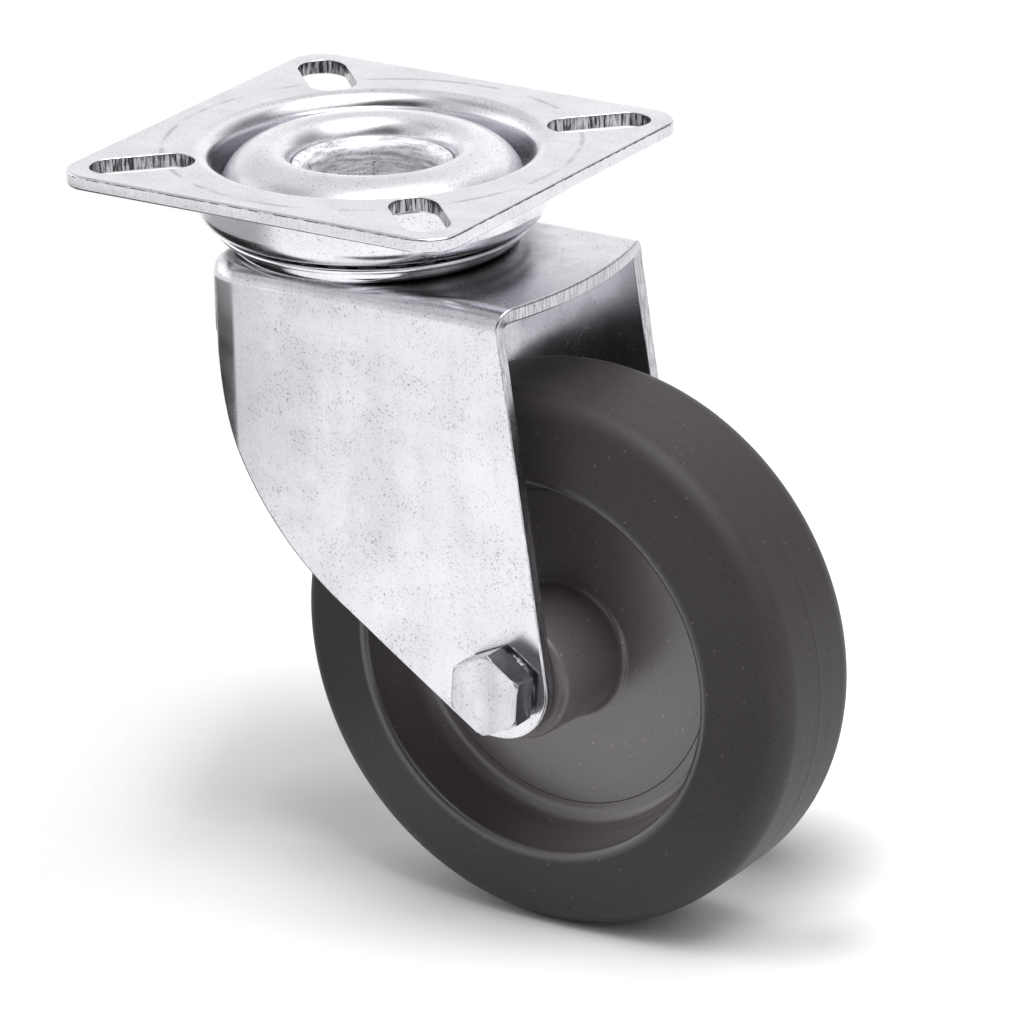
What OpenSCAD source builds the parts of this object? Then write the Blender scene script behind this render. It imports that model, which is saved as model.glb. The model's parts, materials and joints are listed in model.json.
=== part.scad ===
// Swivel castor: a pressed head that turns on two rows of balls, a drawn fork and a moulded wheel.
// The origin is the centre of the plate's top face, on the swivel axis. +Z is up, +X is the way
// the wheel trails, and the axle lies along Y. All sizes are in millimetres.

/* [Castor] */
// Height from the floor to the plate's top face
castor_h = 102; // [98:1:110]
// How far the axle lies behind the swivel axis
trail = 30; // [26:1:34]

/* [Top plate] */
// Side of the square plate
plate_w = 60; // [58:1:80]
// Sheet thickness of the plate
plate_t = 2; // [1.6:0.1:2.4]
// Radius of the plate's corners
plate_corner_r = 4.5; // [2:0.5:7]
// Width of a fixing slot
slot_w = 6.5; // [5.5:0.1:6.6]
// Closest hole spacing that the slots take
slot_spacing_min = 38; // [38:0.5:44]
// Widest hole spacing that the slots take
slot_spacing_max = 48.5; // [46:0.5:50]
// Depth from the top face to the floor of the pressed dish
dish_depth = 7.8; // [7.6:0.1:8.4]
// Radius inside the dish's bends
dish_bend_r = 0.4; // [0.2:0.1:0.8]
// Diameter of the hole in the dish's floor
dish_hole_d = 25; // [24:0.5:25.4]

/* [Swivel cap] */
// Sheet thickness of the cap
cap_t = 1.5; // [1.2:0.1:1.8]
// Outer diameter of the cap
cap_d = 40.8; // [40:0.2:42]
// Gap between the cap's rim and the wall of the dish
cap_gap = 0.8; // [0.5:0.1:1]
// Depth of the cap's crest below the plate's top face
cap_drop = 0.1; // [0:0.1:0.6]
// Outer radius of the bend at the cap's rim
cap_rim_r = 6.6; // [6.2:0.1:7]
// Outer radius of the bend into the cap's neck
cap_neck_r = 3; // [2.4:0.1:3.2]
// Depth from the crest to the seat of the kingpin's lip
cap_seat_depth = 3.6; // [3.4:0.1:4]

/* [Kingpin] */
// Bore of the hollow kingpin
pin_bore_d = 17.6; // [16:0.2:17.8]
// Wall of the kingpin's upper end, and of its rolled lip
pin_t = 1.2; // [0.8:0.1:1.3]
// Width of the shoulder under the cap
pin_shoulder = 1.2; // [0.8:0.1:1.2]
// Radius under the rolled lip
pin_lip_r = 0.5; // [0.3:0.1:0.6]
// Diameter of the flange under the fork
pin_flange_d = 27; // [25:0.5:28]
// Thickness of the flange under the fork
pin_flange_t = 1.5; // [1.2:0.1:2]

/* [Ball rows] */
// Diameter of an upper ball
upper_ball_d = 5; // [4.6:0.1:5.2]
// Diameter of a lower ball
lower_ball_d = 3.5; // [3.3:0.1:3.9]
// Radius of the circle on which the lower balls lie
lower_pitch_r = 14.6; // [14.4:0.1:14.8]
// Least gap between neighbouring balls of a row
ball_spacing = 0.2; // [0.1:0.05:0.4]
// Running clearance of a ball in its track
ball_clearance = 0.1; // [0.05:0.01:0.12]
// Depth of the upper track in the floor of the dish
upper_track_depth = 0.35; // [0.2:0.05:0.5]
// Depth of the lower track in the underside of the dish
lower_track_depth = 0.65; // [0.4:0.05:0.8]

/* [Lower race] */
// Sheet thickness of the lower race
race_t = 0.8; // [0.6:0.05:0.9]
// Outer diameter of the race's wall
race_d = 39; // [38:0.5:40]
// Diameter of the race's rim
race_rim_d = 41.8; // [41.4:0.2:43]
// Gap between the race's rim and the underside of the dish
race_gap = 0.6; // [0.4:0.1:0.7]
// Radius inside the race's bends
race_bend_r = 0.3; // [0.1:0.1:0.4]
// How deep the race's track sits in the top of the fork
race_seat_depth = 0.6; // [0.5:0.05:0.8]

/* [Fork] */
// Sheet thickness of the fork
fork_t = 2; // [1.8:0.1:2.4]
// Distance between the inner faces of the legs
fork_gap = 31.8; // [30:0.2:36]
// Distance from the swivel axis forward to the front wall's outer face
fork_front = 16.5; // [15.5:0.5:20]
// Outer radius of the upright bends between the front wall and the legs
fork_bend_r = 6; // [4:0.5:8]
// Outer radius of the bend along the top's edge
fork_edge_r = 2.9; // [2.6:0.1:3.8]
// Distance from the swivel axis back to the corners of the top's rear rim
rim_corner = 30.4; // [28:0.2:32]
// How far the middle of the rear rim stands out behind its corners
rim_bulge = 2.9; // [0.5:0.1:5]
// Radius of the rounded foot round the axle
foot_r = 7.7; // [7:0.1:9]
// How far the centre of the foot's round lies ahead of the axle
foot_lead = 0.9; // [0:0.1:2]
// How far the lower corner of the foot lies ahead of the axle
foot_corner = 4.3; // [3:0.1:5]
// Rise of the leg's lower edge, in degrees from level
leg_rise = 34.2; // [30:0.5:38]
// Radius of the leg's curved front edge
leg_front_r = 44; // [36:1:50]
// How far the leg's front edge stays behind the front wall's outer face
leg_setback = 1.9; // [1:0.1:4]
// Height of the front wall, from the top of the fork
front_wall_h = 9.5; // [6:0.5:12]

/* [Wheel] */
// Diameter of the wheel over its tread
wheel_d = 75; // [70:1:80]
// Width of the flat of the tread
tread_flat_w = 11.4; // [9:0.2:13]
// Radius of the tread's shoulders
shoulder_r = 4.1; // [3:0.1:5]
// Width of the wheel over the edges of its rim
rim_w = 22.6; // [22:0.2:25]
// Diameter of the recess in the wheel's side, at its edge
recess_d = 51.4; // [48:0.2:54]
// Diameter of the recess at its floor
recess_floor_d = 49.4; // [44:0.2:50]
// Radius round the rim's inner edge
rim_edge_r = 1; // [0.5:0.1:1.5]
// Radius of the fillet between the rim and the web
web_fillet_r = 2.4; // [1:0.1:3]
// Thickness of the web
web_t = 5.2; // [4:0.2:8]
// Diameter of the hub where it leaves the web
hub_d = 18; // [15:0.5:24]
// Taper of the hub's radius towards its ends
hub_taper = 0.6; // [0:0.1:1]
// Radius round the hub's ends
hub_edge_r = 1.2; // [0.4:0.1:2]
// Radius of the fillet between the hub and the web
hub_fillet_r = 1; // [0.4:0.1:2]
// Gap between an end of the hub and its leg
hub_gap = 0.2; // [0.1:0.05:0.6]

/* [Axle] */
// Diameter of the axle bolt
bolt_d = 6; // [5:0.5:8]
// Length of the axle bolt under its head
bolt_l = 45; // [44:1:60]
// Width across the flats of the bolt's head and of the nut
hex_af = 10; // [10:0.5:13]
// Height of the bolt's head
head_h = 3.7; // [3:0.1:5]
// Height of the raised washer face under the head
washer_face_h = 0.8; // [0.2:0.1:1]
// Angle to which the head was tightened, in degrees
head_turn = 25; // [0:1:60]
// Height of the nut
nut_h = 6; // [5:0.5:8]
// Height of the round collar at the nut's outer end
nut_collar_h = 1.6; // [1.2:0.1:2]
// Clearance of the bolt in its holes and its tube
bolt_fit = 0.1; // [0.05:0.01:0.2]
// Wall of the axle tube
tube_t = 1.9; // [1:0.1:2.5]
// Running clearance of the wheel's bore on the axle tube
bore_fit = 0.05; // [0.03:0.01:0.1]

/* [Hidden] */
$fn = 96;
// Overshoot of cutting bodies past the faces that they cut
cut = 1;
// Clearance of the kingpin in its holes
pin_fit = 0.05;
// Width of the flat lap at the end of the kingpin's lip
pin_lap = 0.15;
// Clearance of the bolt's thread in the nut
thread_fit = 0.05;
// How far the race's inner edge stays behind the edge of the dish's hole
race_step = 0.1;
// Radius under the cap's neck, as a share of the sheet's thickness
cap_heel = 0.8;
// Diameters as shares of the width across flats: the circle that turns off the corners of the head
// and the nut, the washer face and the nut's collar
turned_share = 1.06;
washer_share = 0.9;
collar_share = 0.88;
// Chamfer at the end of the bolt, as a share of its diameter
tip_share = 1 / 12;
// Wall and height of the nut's nylon ring, and the lip that holds it in the collar
insert_t = 0.9;
insert_h = 1.2;
insert_lip = 0.3;
zinc = [0.84, 0.84, 0.86];
bright_zinc = [0.9, 0.9, 0.92];
ball_steel = [0.7, 0.7, 0.72];
wheel_grey = [0.29, 0.28, 0.29];
nylon = [0.9, 0.9, 0.85];

// Dish and cap
cap_r = cap_d / 2;
dish_wall_r = cap_r + cap_gap;
dish_r = dish_wall_r + plate_t;
dish_edge_r = dish_r + dish_bend_r;
dish_corner_r = dish_wall_r - dish_bend_r;
dish_under_z = -dish_depth - plate_t;
crest_r = cap_r - cap_rim_r;
rim_z = -cap_drop - cap_rim_r;
neck_z = -cap_drop - cap_neck_r;
neck_r = crest_r - cap_neck_r;
seat_z = -cap_drop - cap_seat_depth;
seat_under_z = seat_z - cap_t;
slot_near_r = slot_spacing_min / sqrt(2);
slot_far_r = slot_spacing_max / sqrt(2);

// Kingpin
pin_bore_r = pin_bore_d / 2;
pin_r = pin_bore_r + pin_t;
shoulder_pin_r = pin_r + pin_shoulder;

// Ball rows: an upper ball touches the floor of the dish and the bend at the cap's rim
upper_track_r = upper_ball_d / 2 + ball_clearance;
upper_ball_z = -dish_depth - upper_track_depth + upper_track_r;
cap_contact_r = cap_rim_r - cap_t - upper_track_r;
upper_pitch_r = crest_r + sqrt(pow(cap_contact_r, 2) - pow(upper_ball_z - rim_z, 2));
lower_track_r = lower_ball_d / 2 + ball_clearance;
lower_ball_z = dish_under_z + lower_track_depth - lower_track_r;

// Lower race and the top of the fork
race_under_r = lower_track_r + race_t;
fork_top_z = lower_ball_z - race_under_r + race_seat_depth;
fork_under_z = fork_top_z - fork_t;
race_floor_z = fork_top_z + race_t;
race_r = race_d / 2;
race_inner_r = dish_hole_d / 2 + race_step;
race_corner_r = race_bend_r + race_t;
race_rim_z = dish_under_z - race_gap;
race_flare_z = race_rim_z - race_t - race_bend_r;

// Fork
wheel_r = wheel_d / 2;
axle_z = wheel_r - castor_h;
leg_out = fork_gap / 2 + fork_t;
leg_in = fork_gap / 2;
foot_x = trail - foot_lead;
foot_z = axle_z - foot_r;
corner_x = trail - foot_corner;
leg_front_x = leg_setback - fork_front;
front_arc_x = leg_front_x + leg_front_r;
front_arc_z = foot_z + (leg_front_r - (front_arc_x - corner_x) * sin(leg_rise)) / cos(leg_rise);
front_arc = [front_arc_x, front_arc_z];
edge_start = front_arc - leg_front_r * [sin(leg_rise), cos(leg_rise)];
front_wall_z = fork_top_z - front_wall_h;
foot_reach = sqrt(pow(rim_corner - foot_x, 2) + pow(fork_under_z - axle_z, 2));
rear_tilt = asin(foot_r / foot_reach) - atan2(rim_corner - foot_x, fork_under_z - axle_z);
foot_tangent = [foot_x, axle_z] + foot_r * [cos(rear_tilt), sin(rear_tilt)];
rim_arc_r = (pow(leg_out, 2) + pow(rim_bulge, 2)) / (2 * rim_bulge);
fork_reach = rim_corner + rim_bulge;

// Axle and wheel
bolt_r = bolt_d / 2;
bolt_end_z = leg_out - bolt_l;
insert_z = nut_h - insert_h - insert_lip;
tube_bore_r = bolt_r + bolt_fit;
tube_r = tube_bore_r + tube_t;
wheel_bore_r = tube_r + bore_fit;
hub_half = leg_in - hub_gap;
hub_r = hub_d / 2;
hub_end_r = hub_r - hub_taper;
web_half = web_t / 2;
recess_r = recess_d / 2;
recess_floor_r = recess_floor_d / 2;
shoulder = [wheel_r - shoulder_r, tread_flat_w / 2];
rim_edge = [recess_r + rim_edge_r, rim_w / 2 - rim_edge_r];
side_run = shoulder - rim_edge;
side_tilt = atan2(-side_run.y, side_run.x) - asin((shoulder_r - rim_edge_r) / norm(side_run));
side_normal = [sin(side_tilt), cos(side_tilt)];

upper_ball_count = floor(180 / asin((upper_ball_d + ball_spacing) / (2 * upper_pitch_r)));
lower_ball_count = floor(180 / asin((lower_ball_d + ball_spacing) / (2 * lower_pitch_r)));
UPPER_BALLS = [for (i = [1:upper_ball_count]) str("upper_ball_", i)];
LOWER_BALLS = [for (i = [1:lower_ball_count]) str("lower_ball_", i)];
PIECES = ["top_plate", "swivel_cap", "hollow_kingpin", "lower_race", "fork",
    "axle_bolt", "axle_nut", "nut_insert", "axle_tube", "wheel"];

// Part of a ring, or of a disc where r_in is 0, between two angles up to half a turn apart
module arc_band(centre, r_in, r_out, a_from, a_to) {
    reach = 1.5 * r_out;
    fan = [for (i = [0:4]) let (a = a_from + (a_to - a_from) * i / 4) centre + reach * [cos(a), sin(a)]];
    intersection() {
        translate(centre)
            difference() {
                circle(r_out);
                if (r_in > 0) circle(r_in);
            }
        polygon(concat([centre], fan));
    }
}

// Rectangle between two corners
module box_2d(low, high) {
    translate(low)
        square(high - low);
}

// Fills the inner corner between a level face and an upright one with a round fillet
module fillet_2d(r) {
    difference() {
        square(r);
        translate([r, r])
            circle(r);
    }
}

// Ball track pressed into a face, as the ring that a row of balls clears
module track(pitch_r, z, r) {
    rotate_extrude()
        translate([pitch_r, z])
            circle(r);
}

module plate_outline() {
    corner = plate_w / 2 - plate_corner_r;
    square([plate_w, 2 * corner], center = true);
    square([2 * corner, plate_w], center = true);
    for (x = [-corner, corner], y = [-corner, corner])
        translate([x, y])
            circle(plate_corner_r);
}

module slot_outline() {
    box_2d([slot_near_r, -slot_w / 2], [slot_far_r, slot_w / 2]);
    for (r = [slot_near_r, slot_far_r])
        translate([r, 0])
            circle(d = slot_w);
}

module dish_section() {
    bend_out_r = dish_bend_r + plate_t;
    arc_band([dish_edge_r, -bend_out_r], dish_bend_r, bend_out_r, 90, 180);
    box_2d([dish_wall_r, dish_bend_r - dish_depth], [dish_r, -bend_out_r]);
    arc_band([dish_corner_r, dish_bend_r - dish_depth], dish_bend_r, bend_out_r, 270, 360);
    box_2d([dish_hole_d / 2, dish_under_z], [dish_corner_r, -dish_depth]);
}

module top_plate() {
    color(zinc)
        difference() {
            union() {
                translate([0, 0, -plate_t])
                    linear_extrude(plate_t)
                        difference() {
                            plate_outline();
                            circle(dish_edge_r);
                        }
                rotate_extrude()
                    dish_section();
            }
            for (a = [45:90:315])
                rotate(a)
                    translate([0, 0, -plate_t - cut])
                        linear_extrude(plate_t + 2 * cut)
                            slot_outline();
            track(upper_pitch_r, upper_ball_z, upper_track_r);
            track(lower_pitch_r, lower_ball_z, lower_track_r);
        }
}

module cap_section() {
    wall_r = neck_r + cap_t;
    bend_r = cap_heel * cap_t;
    hole_r = pin_r + pin_fit;
    arc_band([crest_r, rim_z], cap_rim_r - cap_t, cap_rim_r, 0, 90);
    arc_band([crest_r, neck_z], cap_neck_r - cap_t, cap_neck_r, 90, 180);
    box_2d([neck_r, seat_under_z + bend_r], [wall_r, neck_z]);
    arc_band([wall_r - bend_r, seat_under_z + bend_r], 0, bend_r, 270, 360);
    polygon([[hole_r, seat_under_z], [wall_r - bend_r, seat_under_z], [wall_r - bend_r, seat_z],
        [pin_r + pin_lip_r, seat_z], [hole_r, seat_z - pin_lip_r]]);
}

module swivel_cap() {
    color(zinc)
        rotate_extrude()
            cap_section();
}

module kingpin_section() {
    lip = [pin_r + pin_lip_r, seat_z - pin_lip_r];
    arc_band(lip, pin_lip_r, pin_lip_r + pin_t, 90, 180);
    box_2d([lip.x, seat_z], [lip.x + pin_lap, seat_z + pin_t]);
    box_2d([pin_bore_r, seat_under_z], [pin_r, lip.y]);
    box_2d([pin_bore_r, fork_under_z], [shoulder_pin_r, seat_under_z]);
    box_2d([pin_bore_r, fork_under_z - pin_flange_t], [pin_flange_d / 2, fork_under_z]);
}

module hollow_kingpin() {
    color(zinc)
        rotate_extrude()
            kingpin_section();
}

module race_section() {
    flare_r = race_bend_r + race_t;
    difference() {
        union() {
            intersection() {
                translate([lower_pitch_r, lower_ball_z])
                    circle(race_under_r);
                box_2d([race_inner_r, fork_under_z], [race_r, race_floor_z]);
            }
            box_2d([race_inner_r, fork_top_z], [race_r - race_corner_r, race_floor_z]);
        }
        translate([lower_pitch_r, lower_ball_z])
            circle(lower_track_r);
    }
    arc_band([race_r - race_corner_r, fork_top_z + race_corner_r], race_bend_r, race_corner_r, 270, 360);
    box_2d([race_r - race_t, fork_top_z + race_corner_r], [race_r, race_flare_z]);
    arc_band([race_r + race_bend_r, race_flare_z], race_bend_r, flare_r, 90, 180);
    box_2d([race_r + race_bend_r, race_rim_z - race_t], [race_rim_d / 2, race_rim_z]);
}

module lower_race() {
    color(bright_zinc)
        rotate_extrude()
            race_section();
}

// Plan of a drawn shell: square at the rear, round at the two front corners
module shell_plan(front, half_w, bend_r, rear) {
    box_2d([bend_r - front, -half_w], [rear, half_w]);
    box_2d([-front, bend_r - half_w], [rear, half_w - bend_r]);
    for (y = [bend_r - half_w, half_w - bend_r])
        translate([bend_r - front, y])
            circle(bend_r);
}

// Drawn shell, solid inside, with the top's edge rounded along the front and the sides
module drawn_shell(front, half_w, bend_r, edge_r, top_z) {
    rear = fork_reach + foot_r + cut;
    low_z = foot_z - cut;
    side_y = half_w - edge_r;
    translate([0, 0, low_z])
        linear_extrude(top_z - edge_r - low_z)
            shell_plan(front, half_w, bend_r, rear);
    translate([0, 0, low_z])
        linear_extrude(top_z - low_z)
            shell_plan(front - edge_r, side_y, bend_r - edge_r, rear);
    for (y = [-side_y, side_y])
        translate([bend_r - front, y, top_z - edge_r])
            rotate([0, 90, 0])
                cylinder(h = rear + front - bend_r, r = edge_r);
    translate([edge_r - front, bend_r - half_w, top_z - edge_r])
        rotate([-90, 0, 0])
            cylinder(h = 2 * (half_w - bend_r), r = edge_r);
    for (y = [bend_r - half_w, half_w - bend_r])
        translate([bend_r - front, y, top_z - edge_r])
            rotate_extrude()
                intersection() {
                    translate([bend_r - edge_r, 0])
                        circle(edge_r);
                    box_2d([0, -edge_r], [bend_r, edge_r]);
                }
}

// Side view of the legs and the front wall, as x and z
module leg_outline() {
    over_z = fork_top_z + cut;
    flare_r = leg_setback;
    polygon([[leg_front_x, over_z], [rim_corner, over_z], [rim_corner, fork_under_z], foot_tangent,
        [foot_x, axle_z], [foot_x, foot_z], [corner_x, foot_z], edge_start, front_arc,
        [leg_front_x, front_arc_z]]);
    translate([foot_x, axle_z])
        circle(foot_r);
    arc_band(front_arc, 0, leg_front_r, 180, 270 - leg_rise);
    box_2d([-fork_front - cut, front_wall_z], [leg_front_x, over_z]);
    translate([leg_front_x, front_wall_z])
        mirror([1, 1])
            fillet_2d(flare_r);
}

// The top and the legs before the holes, cut from the drawn shell
module fork_blank() {
    intersection() {
        difference() {
            drawn_shell(fork_front, leg_out, fork_bend_r, fork_edge_r, fork_top_z);
            drawn_shell(fork_front - fork_t, leg_in, fork_bend_r - fork_t, fork_edge_r - fork_t, fork_under_z);
        }
        union() {
            rotate([90, 0, 0])
                linear_extrude(2 * (leg_out + cut), center = true)
                    leg_outline();
            translate([0, 0, fork_under_z])
                linear_extrude(fork_t + cut)
                    intersection() {
                        translate([fork_reach - rim_arc_r, 0])
                            circle(rim_arc_r);
                        box_2d([-fork_front - cut, -leg_out - cut], [fork_reach, leg_out + cut]);
                    }
        }
    }
}

module fork() {
    color(zinc)
        difference() {
            fork_blank();
            translate([0, 0, fork_under_z - cut])
                cylinder(h = fork_t + 2 * cut, r = shoulder_pin_r + pin_fit);
            track(lower_pitch_r, lower_ball_z, race_under_r + pin_fit);
            on_axle()
                cylinder(h = 2 * (leg_out + cut), r = bolt_r + bolt_fit, center = true);
        }
}

// Puts its children on the axle, with their +Z towards the side of the bolt's head
module on_axle() {
    translate([trail, 0, axle_z])
        rotate([90, 0, 0])
            children();
}

// Hexagonal prism from z = 0 up, with the corners of its upper end turned off at 30 degrees
module hex_body(h) {
    turned_r = turned_share * hex_af / 2;
    intersection() {
        cylinder(h = h, d = hex_af / cos(30), $fn = 6);
        cylinder(h = h, r1 = turned_r + h / tan(30), r2 = turned_r);
    }
}

module axle_bolt() {
    chamfer = tip_share * bolt_d;
    color(bright_zinc)
        on_axle() {
            translate([0, 0, leg_out + washer_face_h])
                rotate(head_turn)
                    hex_body(head_h);
            translate([0, 0, leg_out])
                cylinder(h = washer_face_h, d = washer_share * hex_af);
            translate([0, 0, bolt_end_z + chamfer])
                cylinder(h = bolt_l - chamfer, r = bolt_r);
            translate([0, 0, bolt_end_z])
                cylinder(h = chamfer, r1 = bolt_r - chamfer, r2 = bolt_r);
        }
}

// The nut and its insert are drawn from the leg outwards
module on_nut_side() {
    on_axle()
        translate([0, 0, -leg_out])
            mirror([0, 0, 1])
                children();
}

module axle_nut() {
    hex_h = nut_h - nut_collar_h;
    color(zinc)
        on_nut_side()
            difference() {
                union() {
                    hex_body(hex_h);
                    cylinder(h = nut_h, d = collar_share * hex_af);
                }
                translate([0, 0, -cut])
                    cylinder(h = nut_h + 2 * cut, r = bolt_r + thread_fit);
                translate([0, 0, insert_z])
                    cylinder(h = insert_h, r = bolt_r + insert_t);
                translate([0, 0, insert_z])
                    cylinder(h = nut_h, r = bolt_r + insert_t / 2);
            }
}

module nut_insert() {
    color(nylon)
        on_nut_side()
            translate([0, 0, insert_z])
                difference() {
                    cylinder(h = insert_h, r = bolt_r + insert_t);
                    translate([0, 0, -cut])
                        cylinder(h = insert_h + 2 * cut, r = bolt_r);
                }
}

module axle_tube() {
    color(zinc)
        on_axle()
            difference() {
                cylinder(h = fork_gap, r = tube_r, center = true);
                cylinder(h = fork_gap + 2 * cut, r = tube_bore_r, center = true);
            }
}

// Half of the wheel's section, as radius and distance from its middle plane
module wheel_half_section() {
    hub_shoulder = hub_half - hub_edge_r;
    fillet_y = web_half + web_fillet_r;
    box_2d([wheel_bore_r, 0], [recess_floor_r + web_fillet_r, web_half]);
    polygon([[wheel_bore_r, 0], [hub_r, 0], [hub_r, web_half], [hub_end_r, hub_shoulder],
        [hub_end_r - hub_edge_r, hub_half], [wheel_bore_r, hub_half]]);
    translate([hub_end_r - hub_edge_r, hub_shoulder])
        circle(hub_edge_r);
    translate([hub_r, web_half])
        fillet_2d(hub_fillet_r);
    polygon([[recess_floor_r, 0], [wheel_r, 0], [wheel_r, shoulder.y], shoulder + shoulder_r * side_normal,
        rim_edge + rim_edge_r * side_normal, rim_edge, [recess_r, rim_edge.y], [recess_floor_r, fillet_y]]);
    translate(shoulder)
        circle(shoulder_r);
    translate(rim_edge)
        circle(rim_edge_r);
    translate([recess_floor_r, web_half])
        mirror([1, 0])
            fillet_2d(web_fillet_r);
}

module wheel() {
    color(wheel_grey)
        on_axle()
            rotate_extrude() {
                wheel_half_section();
                mirror([0, 1])
                    wheel_half_section();
            }
}

module upper_ball(i) {
    color(ball_steel)
        rotate(360 * i / upper_ball_count)
            translate([upper_pitch_r, 0, upper_ball_z])
                sphere(d = upper_ball_d);
}

module lower_ball(i) {
    color(ball_steel)
        rotate(360 * i / lower_ball_count)
            translate([lower_pitch_r, 0, lower_ball_z])
                sphere(d = lower_ball_d);
}

top_plate();
swivel_cap();
hollow_kingpin();
lower_race();
fork();
axle_bolt();
axle_nut();
nut_insert();
axle_tube();
wheel();
for (i = [1:upper_ball_count])
    upper_ball(i);
for (i = [1:lower_ball_count])
    lower_ball(i);
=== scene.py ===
"""Swivel castor: the looks of its plated pressings, hardware and moulded wheel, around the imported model."""
import json
import math

import bmesh
import bpy
from bpy.props import FloatProperty, FloatVectorProperty, IntProperty, PointerProperty
from mathutils import Matrix, Vector


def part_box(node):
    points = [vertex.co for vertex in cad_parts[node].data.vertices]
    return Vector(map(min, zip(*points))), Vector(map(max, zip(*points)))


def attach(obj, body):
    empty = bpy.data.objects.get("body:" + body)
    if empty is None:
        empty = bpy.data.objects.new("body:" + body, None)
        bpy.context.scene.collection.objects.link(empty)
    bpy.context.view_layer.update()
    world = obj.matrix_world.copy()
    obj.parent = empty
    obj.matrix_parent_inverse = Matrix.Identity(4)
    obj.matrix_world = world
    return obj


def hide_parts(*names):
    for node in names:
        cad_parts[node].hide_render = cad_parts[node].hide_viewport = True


bl_info = {
    "name": "Swivel Castor",
    "version": (1, 0, 0),
    "blender": (4, 5, 0),
    "location": "3D View > Sidebar > Castor",
    "description": "Builds the surfaces and finishes of a light swivel castor around its packed model",
    "category": "Object",
}

MM = 0.001
# Points nearer to each other than this are one point
WELD = 0.002 * MM
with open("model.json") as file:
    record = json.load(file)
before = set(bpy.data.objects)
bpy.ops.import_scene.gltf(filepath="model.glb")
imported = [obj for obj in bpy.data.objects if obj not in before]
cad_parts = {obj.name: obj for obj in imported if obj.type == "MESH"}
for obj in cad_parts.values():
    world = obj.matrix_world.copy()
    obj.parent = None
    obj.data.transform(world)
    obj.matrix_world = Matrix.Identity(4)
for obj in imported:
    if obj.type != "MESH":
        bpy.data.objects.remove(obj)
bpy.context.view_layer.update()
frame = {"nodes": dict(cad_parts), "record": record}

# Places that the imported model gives, in metres
PLATE_LOW, PLATE_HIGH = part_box("top_plate")
CAP_LOW, CAP_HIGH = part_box("swivel_cap")
PIN_LOW, PIN_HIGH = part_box("hollow_kingpin")
RACE_LOW, RACE_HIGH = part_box("lower_race")
FORK_LOW, FORK_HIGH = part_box("fork")
BOLT_LOW, BOLT_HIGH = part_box("axle_bolt")
NUT_LOW, NUT_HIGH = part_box("axle_nut")
WHEEL_LOW, WHEEL_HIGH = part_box("wheel")
AXLE = (WHEEL_LOW + WHEEL_HIGH) / 2
LEG_OUT = FORK_HIGH.y
FLOOR_Z = WHEEL_LOW.z


def length(name, description, size_mm):
    """A size in the model's own unit, given here in millimetres."""
    return FloatProperty(name=name, description=description, default=size_mm * MM, unit="LENGTH",
                         precision=5)


def tint(name, description, colour):
    return FloatVectorProperty(name=name, description=description, default=colour, size=3, subtype="COLOR",
                               min=0, max=1)


class PlateSizes(bpy.types.PropertyGroup):
    thickness: length("Thickness", "Sheet thickness of the plate", 2)
    corner_r: length("Corner radius", "Radius of the plate's corners", 4.5)
    slot_w: length("Slot width", "Width of a fixing slot", 6.5)
    slot_near: length("Near spacing", "Closest hole spacing that the slots take", 38)
    slot_far: length("Far spacing", "Widest hole spacing that the slots take", 48.5)
    dish_bend_r: length("Dish bend", "Radius inside the dish's bends", 0.4)
    dish_hole_r: length("Dish hole", "Radius of the hole in the dish's floor", 12.5)
    cap_gap: length("Cap gap", "Gap between the cap and the wall of the dish", 0.8)
    edge_r: length("Edge round", "Rounding of the stamped outer edge", 0.35)
    slot_edge_r: length("Slot edge round", "Rounding of the slots' edges", 0.15)


class HeadSizes(bpy.types.PropertyGroup):
    cap_t: length("Cap thickness", "Sheet thickness of the swivel cap", 1.5)
    cap_rim_r: length("Cap rim bend", "Outer radius of the bend at the cap's rim", 6.6)
    cap_neck_r: length("Cap neck bend", "Outer radius of the bend into the neck", 3)
    seat_depth: length("Seat depth", "Depth from the cap's crest to the kingpin's seat", 3.6)
    pin_bore_r: length("Kingpin bore", "Radius of the kingpin's bore", 8.8)
    pin_t: length("Kingpin wall", "Wall of the kingpin's upper end", 1.2)
    pin_shoulder: length("Kingpin shoulder", "Width of the shoulder under the cap", 1.2)
    pin_lip_r: length("Kingpin lip", "Radius under the rolled lip", 0.5)
    flange_t: length("Flange thickness", "Thickness of the kingpin's flange", 1.5)
    race_t: length("Race thickness", "Sheet thickness of the lower race", 0.8)
    race_r: length("Race radius", "Outer radius of the race's wall", 19.5)
    race_bend_r: length("Race bend", "Radius inside the race's bends", 0.3)
    edge_r: length("Edge round", "Rounding of the pressings' cut edges", 0.2)


class ForkSizes(bpy.types.PropertyGroup):
    thickness: length("Thickness", "Sheet thickness of the fork", 2)
    bend_r: length("Upright bend", "Outer radius of the bends beside the front wall", 6)
    edge_r: length("Top bend", "Outer radius of the bend along the top's edge", 2.9)
    rim_corner: length("Rim corner", "Distance back to the corners of the rear rim", 30.4)
    rim_bulge: length("Rim bulge", "How far the middle of the rear rim stands out behind its corners", 2.9)
    foot_r: length("Foot round", "Radius of the rounded foot", 7.7)
    foot_lead: length("Foot lead", "How far the foot's centre lies ahead of the axle", 0.9)
    foot_corner: length("Foot corner", "How far the foot's corner lies ahead of the axle", 4.3)
    front_r: length("Front curve", "Radius of the leg's curved front edge", 44)
    setback: length("Setback", "How far the leg's front edge stays behind the front wall", 1.9)
    front_wall_h: length("Front wall", "Height of the front wall", 9.5)
    cut_edge_r: length("Cut edge round", "Rounding of the sheet's cut edges", 0.32)
    rise: FloatProperty(name="Rise", description="Rise of the leg's lower edge", default=math.radians(34.2),
                        subtype="ANGLE")


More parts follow.
